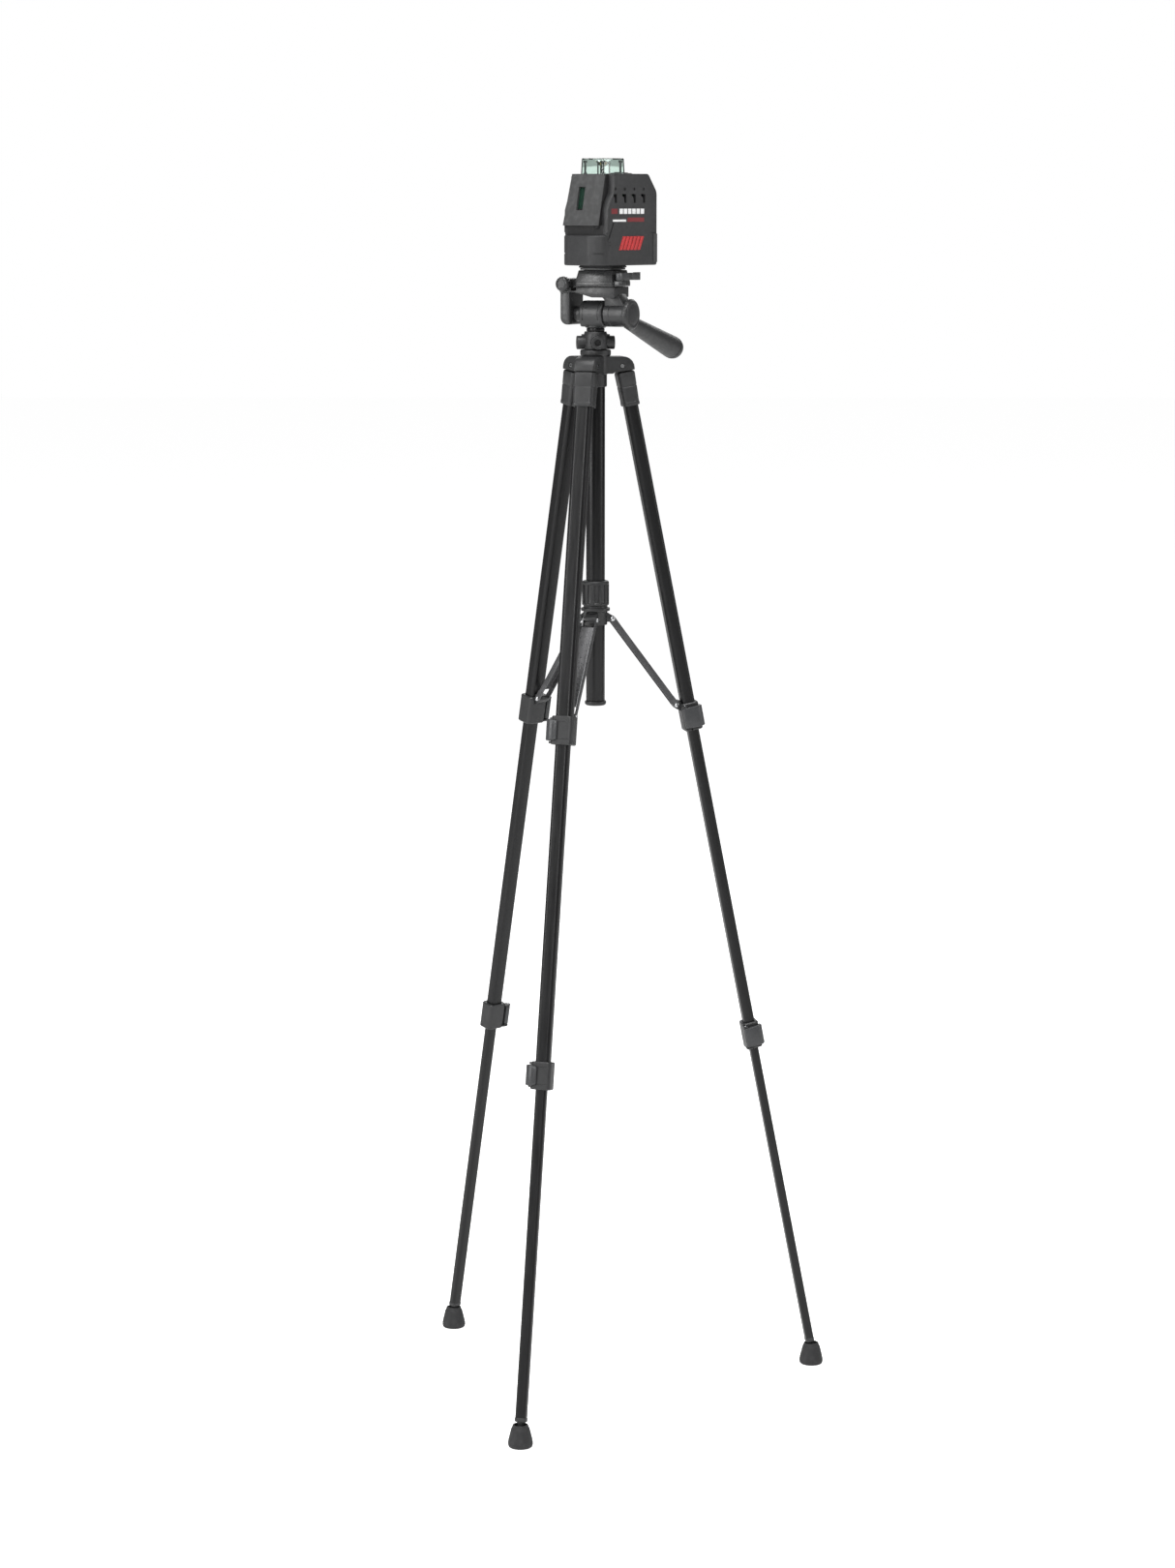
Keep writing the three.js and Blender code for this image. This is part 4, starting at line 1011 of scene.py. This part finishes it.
cap = turned(
    [
        (0, 34.4), (8, 34.4), (8, 38.7), (15, 38.7), (15.7, 39), (16, 39.8), (16, 42.6), (15.4, 44),
        (14.2, 44.9), (12.6, 45.2), (11.9, 44.9), (11.4, 44.8), (10, 45.3), (6, 45.6), (0, 45.6),
    ]
)
grips = set_round(30, lambda: soften(block(15.5, 16.3, -0.55, 0.55, 39.9, 43.2), 0.2, 1))
head_piece(
    aimed(gather(cap, *grips), "x", (0, 0, TILT_HEIGHT)), "tilt_lock_cap", "tilt", head_plastic,
    ["tilt_end_cap"],
)

# ---------------------------------------------------------------- pan handle
# A steel rod screwed into the bracket carries a moulded grip that widens to a round butt.
# Turning the grip tightens the rod against the tilt axle.
HANDLE = HEAD @ handle_turn

rod_shape = turned([(0, 9.4), (3.6, 9.4), (4, 9.9), (4, 53.6), (3.6, 54), (0, 54)], 40)
make_piece(rod_shape, "handle_rod_turned", "handle", steel, HANDLE, ["handle_rod"])
HANDLE_TONE = (0.018, 0.0183, 0.019)
handle_plastic = moulded_finish("handle_nylon", HANDLE_TONE, 0.46, 0.55, 0.03)
grip = turned(
    [
        (4.3, 16.5), (6.6, 16.5), (7.2, 17.2), (7.3, 18.6), (6.9, 19.2), (6.9, 19.9), (7.5, 20.6),
        (8.2, 36), (9.3, 60), (10.8, 94), (12.1, 125), (11.7, 125.6), (11.7, 126.8), (12.15, 127.4),
        (12, 130.6), (11.2, 133.6), (9.2, 136.4), (6.4, 138.1), (3, 138.8), (0, HANDLE_LENGTH),
    ],
    72,
)
make_piece(grip, "handle_grip_moulding", "handle", handle_plastic, HANDLE, ["handle_grip"])

# ---------------------------------------------------------------- flip platform
# The camera platform hinges at one end on the bracket and is held by a side knob. Its dovetail
# pocket takes the quick release plate, which a small sprung lever locks.


def rise(edge):
    """How far an edge climbs."""
    return abs(edge.verts[0].co.z - edge.verts[1].co.z)


platform_base = slab([(-14, -21.5), (31, -21.5), (31, 21.5), (-14, 21.5)], 1189.2, 1194, "z")
soften(platform_base, 3.0, 4, 60, lambda e: rise(e) > 1)
soften(platform_base, 0.7, 2, 50)
platform_top = slab([(-13.4, -21), (30.4, -21), (30.4, 21), (-13.4, 21)], 1193.6, 1206, "z")
for vert in platform_top.verts:
    if vert.co.z > 1200:
        vert.co.y *= 17.8 / 21
        vert.co.x = -11 if vert.co.x < 0 else 28
soften(platform_top, 0.8, 3, 30)
pocket = slab([(-15.2, 1196), (15.2, 1196), (15.6, 1208), (-15.6, 1208)], SCREW_U - 15, SCREW_U + 15, "x")
platform_top = carve(platform_top, pocket)
knuckle = slab(
    arc(FLIP_U, FLIP_Z, 6.1, 75, 290, 20) + [(-13, 1189.2), (-13, 1197.4)],
    -11.9, 11.9,
)
soften(knuckle, 0.5, 2, 50)
shelf = soften(block(30, 40.5, -18, -8, 1189.4, 1195.4), 1.2, 3)
head_piece(
    gather(
        platform_base, platform_top, knuckle, shelf,
        rod(2, 1195, 1203.6, centre=(36, -13), steps=24, rounding=0.3),
    ),
    "flip_platform_moulding", "flip", platform_plastic, ["flip_platform"],
)

knob = turned(
    [
        (0, 17), (6.6, 17), (7.5, 18), (7.7, 19), (7.7, 23.4), (7.1, 25.2), (6.0, 26.1), (4.2, 26.4),
        (3.9, 26.1), (0, 26.1),
    ]
)
knob_grips = set_round(16, lambda: soften(block(7.2, 8.0, -0.6, 0.6, 18.6, 23.8), 0.25, 1))
knob = gather(knob, *knob_grips)
knob.transform(Matrix.Translation((FLIP_U, 0, FLIP_Z)) @ Matrix.Rotation(pi / 2, 4, "X"))
head_piece(knob, "flip_knob_moulding", "flip_knob", head_plastic, ["flip_lock_knob"])
knob_bolt = rod(2.5, -17, 17, "y", (FLIP_U, FLIP_Z), 28, 0.4)
head_piece(knob_bolt, "flip_knob_bolt", "flip_knob", steel)

qr_lever = slab(
    [
        (32, -15), (32.8, -16.6), (34.4, -17), (37.4, -17), (39.4, -16), (40, -14.4), (39.4, 6),
        (45.2, 8), (46, 9), (46, 13.2), (45, 14.1), (36.4, 15), (34, 14.2), (33, 12),
    ],
    1195.9, 1203.3, "z",
)
qr_lever = carve(qr_lever, rod(2.3, 1190, 1210, centre=(36, -13), steps=24))
lever_ribs = gather(*[block(41.4 + 1.3 * i, 42.0 + 1.3 * i, 5, 16, 1203, 1203.9) for i in range(3)])
soften(qr_lever, 0.5, 2, 60)
head_piece(
    gather(qr_lever, lever_ribs), "quick_release_latch", "quick_release_lever", lever_plastic,
    ["quick_release_lever"],
)

qr_foot = soften(block(SCREW_U - 14.6, SCREW_U + 14.6, -15.1, 15.1, 1199.4, 1207), 0.6, 2)
qr_top = block(SCREW_U - 18, SCREW_U + 18, -18.5, 18.5, 1206.4, 1208.5)
soften(qr_top, 2.4, 4, 60, lambda e: rise(e) > 1)
soften(qr_top, 0.35, 2, 50)
head_piece(
    gather(qr_foot, qr_top), "quick_release_moulding", "plate", head_plastic, ["quick_release_plate"],
)

pad_rubber = rubber_finish("pad_rubber", (0.022, 0.022, 0.023), 0.82, 0.8)
pad = rounded_face(38, 39, 2.5, 1208.7, 5)
shift(pad, (-TUBE_OFFSET + SCREW_U, 0, 0))
grown_face(pad, pad.faces[:], 1210.3)
outward(pad)
pad_ribs = [
    soften(block(SCREW_U - 17.5, SCREW_U + 17.5, v - 0.8, v + 0.8, 1210, 1210.85), 0.25, 1)
    for v in range(-18, 19, 3)
]
head_piece(
    gather(pad, *pad_ribs), "ribbed_pad", "plate", pad_rubber, ["quick_release_pad"],
)

THREAD_PITCH = 1.27
screw_outline = [
    (0, 1196.6), (7.4, 1196.6), (8, 1197.2), (8, 1199), (3.1, 1199), (3.1, 1218), (2.4, 1219), (0, 1219),
]
thread_outline = [(3.0, 1207), (3.25, 1207.4), (3.0, 1207.8)]
threads = [turned([(r, z + THREAD_PITCH * i) for r, z in thread_outline], 40) for i in range(8)]
mount_screw = gather(turned(screw_outline, 40), *threads)
shift(mount_screw, (SCREW_U, 0, 0))
head_piece(mount_screw, "mount_screw_turned", "camera_screw", steel, ["camera_screw"])

# ---------------------------------------------------------------- laser housing
# The laser level's housing is two moulded shells of charcoal plastic with a spark-eroded grain.
# It has chamfered corners, a stepped front and cooling slots, and a rubber edge round the visor.
LASER_TURN = 225
LASER_BASE = 1211.1
LASER_TOP = 94.5
LASER_HALF_WIDTH = 31
LASER_FRONT, LASER_BACK = 38, -54
WINDOW_HEIGHT = 69
GIMBAL_HEIGHT = 84
LASER = HEAD @ Matrix.Translation((SCREW_U, 0, LASER_BASE)) @ turn_by(LASER_TURN - TILT_AXIS_TURN)
SHELL_TONE = (0.021, 0.0212, 0.0221)

shell_plastic = moulded_finish("laser_shell", SHELL_TONE, 0.52, 0.6, 0.035)


def laser_piece(shape, name, finish, stands_for=(), body="laser", crease=35):
    """A piece in the laser's own frame: x points out of the window."""
    return make_piece(shape, name, body, finish, LASER, stands_for, crease)


def trim(shape, point, normal):
    """Cuts off what lies beyond a plane and closes the cut."""
    cut = bmesh.ops.bisect_plane(
        shape, geom=whole(shape), plane_co=point, plane_no=normal, clear_outer=True,
    )
    rim = [g for g in cut["geom_cut"] if isinstance(g, bmesh.types.BMEdge)]
    bmesh.ops.contextual_create(shape, geom=rim)
    return outward(shape)


WAIST = 41.2
FRONT_LEAN, CORNER_LEAN = 0.1908, 0.261
VISOR_BACK, VISOR_BACK_LEAN = 32.4, 0.2249


def least_x(edge):
    return min(v.co.x for v in edge.verts)


def cut_corners(shape, front, back, half):
    """Slants off the upright corners: the first two numbers are the cuts at front and back."""
    for way in (1, -1):
        trim(shape, (LASER_FRONT - front, way * half, 0), (1, way, 0))
        trim(shape, (LASER_BACK + back, way * half, 0), (-1, way, 0))
    return shape


upper_shell = slab(
    [
        (LASER_BACK, 0), (20, 0), (20, 27.4), (26, 30.6), (26, 41.2), (25.2, 57), (22, 65.6),
        (16.8, 73.4), (15.6, 80), (15.5, LASER_TOP), (-37.5, LASER_TOP), (LASER_BACK, 70.2),
    ],
    -LASER_HALF_WIDTH, LASER_HALF_WIDTH,
)
shell = soften(cut_corners(upper_shell, 12, 5, LASER_HALF_WIDTH), 1.9, 4, 25)
lower_front = block(14, LASER_FRONT, -LASER_HALF_WIDTH, LASER_HALF_WIDTH, 0, 31.2)
cut_corners(lower_front, 12, 5, LASER_HALF_WIDTH)
soften(lower_front, 5.5, 6, 25, lambda e: least_x(e) > 14.1 and rise(e) > 1)
soften(lower_front, 1.7, 4, 50, lambda e: max(v.co.x for v in e.verts) > 14.1)
shadow_groove = block(18, 33, -29, 29, 29, WAIST)
for way in (1, -1):
    trim(shadow_groove, (23, way * 29, 0), (1, way, 0))
visor_seat = block(5, 34, -23.8, 23.8, 38, LASER_TOP - 0.4)
trim(visor_seat, (VISOR_BACK - 0.3, 0, WAIST), (1, 0, VISOR_BACK_LEAN))
soften(visor_seat, 1.0, 3, 40, lambda e: least_x(e) > 10)
shell = combined(shell, lower_front, "UNION")
visor_seat = combined(visor_seat, shadow_groove, "UNION")
cavity = slab(
    [
        (-51, 3), (29.5, 3), (29.5, 27), (22, 31), (22, 57), (13.5, 72), (12.5, 91.5), (-35.5, 91.5),
        (-51, 68.5),
    ],
    -28, 28,
)
cut_corners(cavity, 17.5, 7, 28)
seat_cavity = slab([(0, 45), (28.4, 45), (18.1, 91.5), (0, 91.5)], -20.8, 20.8)
HOOKED_VENT = [(10.4, 64.5), (13.2, 64.5), (13.8, 70.2), (16.2, 71.6), (16.8, 73.5), (10.4, 73.5)]
VENT_PITCH = 14
vents = [slab([(x - VENT_PITCH * n, z) for x, z in HOOKED_VENT], 26, 33) for n in range(4)]
small_vents = [
    block(11.4 - VENT_PITCH * n, 14.9 - VENT_PITCH * n, 30.0, 33, 77.4, 80.0) for n in range(4)
]
cavity = combined(cavity, seat_cavity, "UNION")
visor_seat = carve(
    visor_seat, cavity.copy(), block(16, 40, -5, 5, WINDOW_HEIGHT - 11, WINDOW_HEIGHT + 11),
    block(0, 15, -40, 40, 0, 100),
)
for tool in (
    cavity,
    gather(*vents),
    gather(*small_vents),
    block(-13.5, 13.5, -13.5, 13.5, 88, 96),
    block(-17, 17, -17, 17, 93.4, 96),
    block(-56, -51.5, -21.3, 21.3, 12.3, 61.7),
    block(-56, -48, -18, 18, 16, 58),
    block(-8.3, 12.3, -32, -28.9, 29.7, 37.3),
    block(-35.3, -18.7, -10.3, 10.3, 92.3, 96),
):
    shell = carve(shell, tool)
base_groove = gather(
    block(-60, 60, LASER_HALF_WIDTH - 0.7, 40, 11.9, 12.9),
    block(-60, 60, -40, -LASER_HALF_WIDTH + 0.7, 11.9, 12.9),
    block(LASER_FRONT - 0.7, 60, -40, 40, 11.9, 12.9),
)
corner_groove = [
    slab(
        [
            (LASER_FRONT - 13.4, way * 31.2), (LASER_FRONT + 1.5, way * 16.4),
            (LASER_FRONT + 2.5, way * 31.2),
        ],
        11.9, 12.9, "z",
    )
    for way in (1, -1)
]
slant_grooves = [
    slab([(14.2, 44.6), (16.0, 44.6), (24.6, 25), (22.8, 25)], *sorted((way * 30.2, way * 33)))
    for way in (1, -1)
]
side_lines = gather(
    *[block(20, 29, y, y + 2.6, z, z + 1) for y in (30.4, -33) for z in (20.2, 23.1)],
    *[block(-56, -40, y, y + 2.6, 33.2, 34.2) for y in (30.4, -33)],
)
shell = carve(shell, base_groove, gather(*corner_groove), side_lines, gather(*slant_grooves))
laser_piece(shell, "laser_shell_moulding", shell_plastic, ["laser_housing"], crease=30)
# The groove walls under and beside the visor are a separate near-black piece: painted shade that darkens
# the recess.
painted_shade_black = moulded_finish("visor_seat_painted_shade", (0.008, 0.008, 0.0085), 0.6, 0.6, 0.02)
laser_piece(visor_seat, "visor_groove_painted_shade_piece", painted_shade_black, ["laser_housing"], crease=30)

thread_boss = carve(rod(8, 2, 13, steps=40), rod(3.4, -1, 14, steps=32))
laser_piece(thread_boss, "laser_thread_boss", shell_plastic, ["laser_housing"])
posts = [
    soften(block(-4, 4, *sides, GIMBAL_HEIGHT - 4, GIMBAL_HEIGHT + 4), 0.5)
    for sides in ((17.5, 29), (-29, -17.5))
]
gimbal_posts = carve(gather(*posts), rod(1.8, -21, 21, "y", (0, GIMBAL_HEIGHT), 24))
laser_piece(gimbal_posts, "laser_gimbal_posts", shell_plastic, ["laser_housing"])

# ---------------------------------------------------------------- visor and overmould
# The front visor is a separate soft-touch plate that leans back over the nose. The same soft
# plastic forms a raised edge on the shell beside it, and bumpers at the rear corners.
VISOR_TONE = (0.05, 0.0505, 0.051)
visor_rubber = rubber_finish("soft_touch", VISOR_TONE, 0.62, 0.7)

visor = block(10, 45, -35, 35, WAIST, LASER_TOP - 0.2)
trim(visor, (LASER_FRONT, 0, WAIST), (1, 0, FRONT_LEAN))
trim(visor, (VISOR_BACK, 0, WAIST), (-1, 0, -VISOR_BACK_LEAN))
trim(visor, (28.5, 0, 91), (1, 0, 1))
for way in (1, -1):
    trim(visor, (59.2, 0, WAIST), (1, way, CORNER_LEAN))
    trim(visor, (0, way * 26.2, WAIST), (0, way, 0.0358))
    trim(visor, (0, way * 24.4, 91.5), (0, way, 0.86))
soften(visor, 3.2, 5, 25, lambda e: least_x(e) > VISOR_BACK - 3 and rise(e) > 20)
soften(visor, 1.5, 4, 25)
visor = carve(
    visor,
    slab([(50, 57), (50, 81), (26.9, 81), (31.1, 57)], -4.7, 4.7),
    block(20, 40, -3.4, 3.4, WINDOW_HEIGHT - 10, WINDOW_HEIGHT + 10),
)
laser_piece(visor, "soft_touch_visor", visor_rubber, ["laser_visor"], crease=30)

edge_strips = []
for way in (1, -1):
    near, far = sorted((way * (LASER_HALF_WIDTH - 1.2), way * (LASER_HALF_WIDTH + 0.55)))
    strip = slab(
        [
            (25.6, 34), (25.6, 41.4), (24.9, 57), (21.8, 65.4), (16.6, 73.3), (15.5, 80), (15.3, 92),
            (13.6, 92), (13.8, 79.6), (15.1, 72.6), (20.2, 64.8), (23.3, 56.6), (24, 41.2), (24.2, 34),
        ],
        near, far,
    )
    edge_strips.append(soften(strip, 0.4, 2, 40))
for way in (1, -1):
    bumper = block(-54.6, -44, 24 if way > 0 else -31.6, 31.6 if way > 0 else -24, 3, 32.6)
    trim(bumper, (-54.6 + 5.2, way * 31.6, 0), (-1, way, 0))
    bumper = carve(bumper, block(-52.4, -40, -29.6, 29.6, 0, 40))
    edge_strips.append(bumper)
laser_piece(gather(*edge_strips), "soft_touch_edges", visor_rubber)

# ---------------------------------------------------------------- windows and top glass
# A dark green filter glass closes the slot in the visor. On the top a clear moulded cover
# stands on four dark posts over the cone mirror that spreads the level line all round.


def glass_finish(name, colour, roughness=0.02):
    """Clear moulded glass with faint flow lines."""
    finish, tree, shader = start_finish(name, roughness)
    shader.inputs["Transmission Weight"].default_value = 1.0
    shader.inputs["IOR"].default_value = 1.47
    where = own_grain(tree)
    paint(tree, shader, speckle(tree, where, 9), shade(colour, 0.95), colour)
    vary_gloss(tree, shader, speckle(tree, where, 4), roughness, roughness + 0.05)
    raise_grain(tree, shader, speckle(tree, where, 6), 0.01)
    return finish


filter_glass = moulded_finish("filter_glass", (0.006, 0.022, 0.014), 0.1, 3.0, 0.002)
clear_glass = glass_finish("cover_glass", (0.86, 0.97, 0.92))
window = slab([(-4.4, -11.2), (4.4, -11.2), (4.4, 11.2), (-4.4, 11.2)], -0.7, 0.7, "x")
soften(window, 0.3, 2, 50)
window.transform(Matrix.Translation((29.95, 0, WINDOW_HEIGHT)) @ turn_by(-9.9, "Y"))
laser_piece(window, "filter_window", filter_glass, ["laser_front_window"])


def cover_block(inset, low, high):
    shape = block(-16.6 + inset, 16.6 - inset, -16.6 + inset, 16.6 - inset, low, high)
    for vert in shape.verts:
        if vert.co.z > high - 0.1:
            vert.co.x *= (16 - inset) / (16.6 - inset)
            vert.co.y *= (16 - inset) / (16.6 - inset)
    soften(shape, max(0.6, 1.6 - inset), 4, 60, lambda e: rise(e) > 5)
    return shape


cover = cover_block(0, 93.8, 110.5)
soften(cover, 0.9, 3, 50, lambda e: min(v.co.z for v in e.verts) > 105)
cover = carve(cover, cover_block(1.6, 93, 108.9))
laser_piece(cover, "glass_top_cover", clear_glass, ["laser_glass_cover"])

black_trim = moulded_finish("black_trim", (0.012, 0.012, 0.0125), 0.4, 0.8, 0.01)
cover_posts = [
    gather(
        rod(1.15, 93.4, 107.6, centre=(a, b), steps=20, rounding=0.2),
        rod(2.0, 93.4, 95.6, centre=(a, b), steps=20, rounding=0.4),
        rod(2.0, 105.6, 108.0, centre=(a, b), steps=20, rounding=0.4),
    )
    for a in (-12.6, 12.6) for b in (-12.6, 12.6)
]
laser_piece(gather(*cover_posts), "glass_cover_posts", black_trim)


def mirror_finish(name, colour):
    """Vacuum-plated mirror with the faintest haze."""
    finish, tree, shader = start_finish(name, 0.06, 1.0)
    where = own_grain(tree)
    paint(tree, shader, speckle(tree, where, 3), shade(colour, 0.92), colour)
    vary_gloss(tree, shader, speckle(tree, where, 1.5), 0.03, 0.12)
    return finish


mirror = mirror_finish("plated_mirror", (0.78, 0.79, 0.8))
cone = turned([(0, 99.5), (7.0, 105.7), (7.4, 106.2), (7.4, 107.3), (7.1, 107.6), (0, 107.6)], 64)
laser_piece(cone, "cone_mirror_turned", mirror, ["cone_mirror"], body="pendulum")

# ---------------------------------------------------------------- pendulum and gimbal
# Both laser modules hang on one brass stem in a brass gimbal ring, so that they level
# themselves; a heavy turned weight at the foot damps the swing.
brass = steel_finish("turned_brass", (0.42, 0.28, 0.1), 0.3)
weight = turned(
    [
        (0, 22), (11.6, 22), (12.5, 22.8), (12.5, 24.4), (12.1, 24.8), (12.1, 25.4), (12.5, 25.8),
        (12.5, 27.4), (11.8, 28), (6, 31), (6, 56), (8.6, 58), (8.6, 92.4), (8, 93), (0, 93),
    ]
)
front_module = turned(
    [(3.2, 12), (3.2, 17), (5.3, 17), (5.8, 16.5), (5.8, -13.5), (5.3, -14), (0, -14), (0, 12)], 40,
)
front_module = aimed(front_module, "x", (0, 0, WINDOW_HEIGHT))
trunnions = rod(1.5, -13.4, 13.4, "x", (0, GIMBAL_HEIGHT), 24, 0.3)
laser_piece(
    gather(weight, front_module, trunnions), "pendulum_turned", brass, ["pendulum"],
    body="pendulum",
)
mirror_legs = [
    rod(0.8, 92, 105.4, centre=(6.6 * cos(radians(a)), 6.6 * sin(radians(a))), steps=16)
    for a in (0, 120, 240)
]
laser_piece(gather(*mirror_legs), "mirror_legs", black_trim, body="pendulum")
ring = turned([(11, 81), (14, 81), (14, 87), (11, 87)], 72, True)
soften(ring, 0.4)
ring = carve(ring, rod(1.8, -20, 20, "x", (0, GIMBAL_HEIGHT), 24))
ring_pins = gather(
    *[rod(1.5, start, start + 8.4, "y", (0, GIMBAL_HEIGHT), 24, 0.3) for start in (-20.4, 12)]
)
laser_piece(
    gather(ring, ring_pins), "gimbal_ring_turned", brass, ["gimbal_ring"], body="gimbal"
)

# ---------------------------------------------------------------- electronics
# Behind the stem stands a green circuit board, and behind that the battery bay with its pack,
# closed by a hinged door at the rear of the housing.
board_green = moulded_finish("board_resist", (0.02, 0.11, 0.05), 0.35, 1.6, 0.004, shelf_grain)
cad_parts["circuit_board"].data.materials.clear()
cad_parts["circuit_board"].data.materials.append(board_green)
chips = [
    soften(block(-18.9, -17.2, y0, y0 + w, z0, z0 + h), 0.3, 1)
    for y0, w, z0, h in (
        (-19, 12, 16, 12), (4, 7, 20, 7), (-14, 5, 38, 9), (2, 14, 40, 5), (-6, 9, 54, 9), (12, 6, 58, 5),
    )
]
laser_piece(gather(*chips), "board_chips", black_trim)

wrap = moulded_finish("battery_wrap", (0.03, 0.045, 0.07), 0.3, 2.2, 0.003)
cells = [
    gather(
        rod(8.6, 17.2, 56.2, centre=(-35.9, y), steps=48, rounding=0.8),
        rod(3.0, 56, 57.4, centre=(-35.9, y), steps=24, rounding=0.3),
    )
    for y in (-8.8, 8.8)
]
laser_piece(gather(*cells), "battery_cells", wrap, ["battery_pack"])

door = slab(arc(-52.9, 13.7, 1.1, 0, -180, 6) + [(-54, 61.4), (-51.8, 61.4)], -21, 21)
soften(door, 0.4, 2, 60)
door_ribs = [soften(block(-54.5, -53.6, -8, 8, 50 + 2.4 * i, 51.2 + 2.4 * i), 0.25, 1) for i in range(4)]
latch = soften(slab([(-54.4, 59), (-53.4, 59), (-53.4, 61), (-54.4, 61)], -6, 6), 0.3, 1)
laser_piece(
    gather(door, *door_ribs, latch), "battery_door_moulding", shell_plastic, ["battery_door"],
    body="battery_door",
)

# ---------------------------------------------------------------- controls and markings
# A sliding switch at the far side locks the pendulum, a rubber keypad is let into the top, and
# the labelled side carries plain printed bars and a ribbed red inlay.
switch = slab([(-7, -29.2), (-8, -31.2), (-6.4, -32.8), (2.4, -32.8), (4, -31.2), (3, -29.2)], 30, 37, "z")
soften(switch, 0.4, 2, 40)
switch_ribs = [
    soften(block(-5 + 1.8 * i, -4.1 + 1.8 * i, -33.3, -32.6, 30.8, 36.2), 0.2, 1) for i in range(4)
]
laser_piece(
    gather(switch, *switch_ribs), "lock_switch_moulding", black_trim, ["lock_switch"],
    body="lock_switch",
)

keys_base = rounded_face(16, 20, 3, 93.4, 5)
shift(keys_base, (-TUBE_OFFSET - 27, 0, 0))
grown_face(keys_base, grown_face(keys_base, keys_base.faces[:], 95.0), 95.3, 0.97)
outward(keys_base)
keys = [rod(3.6, 95.2, 95.9, centre=(-27, y), steps=36, rounding=0.3) for y in (-5.2, 5.2)]
laser_piece(
    gather(keys_base, *keys), "keypad_moulding", pad_rubber, ["keypad"], body="keypad",
)

print_white = moulded_finish("print_white", (0.72, 0.72, 0.72), 0.5, 0.5, 0.006)
print_red = moulded_finish("print_red", (0.15, 0.013, 0.016), 0.5, 0.5, 0.006)
inlay_red = moulded_finish("inlay_red", (0.42, 0.024, 0.025), 0.42, 0.6, 0.02)
SIDE = LASER_HALF_WIDTH
white_bars = [
    soften(block(-30 + 6.3 * i, -24.9 + 6.3 * i, SIDE - 0.2, SIDE + 0.08, 53.2, 58.6), 0.03, 1)
    for i in range(6)
] + [block(-3.2, 16.5, SIDE - 0.2, SIDE + 0.08, 45.2, 47.4)]
red_bars = [
    block(9.6, 18.6, SIDE - 0.2, SIDE + 0.08, 53.2, 58.6),
    block(-30, -5.4, SIDE - 0.2, SIDE + 0.08, 45.0, 49.4),
]
laser_piece(gather(*white_bars), "printed_white_bars", print_white)
laser_piece(gather(*red_bars), "printed_red_bars", print_red)
INLAY_SLANT, INLAY_HEIGHT = 0.42, 23
inlay_base = soften(block(-27, 5, SIDE - 0.6, SIDE + 0.1, 15.6, 30.4), 0.2, 1)
lean = Matrix(((1, 0, -INLAY_SLANT, INLAY_SLANT * INLAY_HEIGHT), (0, 1, 0, 0), (0, 0, 1, 0), (0, 0, 0, 1)))
inlay_base.transform(lean)
laser_piece(inlay_base, "red_inlay_base", print_red)
inlay_ribs = [
    soften(block(-26.6 + 5.3 * i, -22.5 + 5.3 * i, SIDE - 0.3, SIDE + 0.65, 16, 30), 0.35, 2)
    for i in range(6)
]
inlay = gather(*inlay_ribs)
inlay.transform(lean)
laser_piece(inlay, "red_ribbed_inlay", inlay_red)
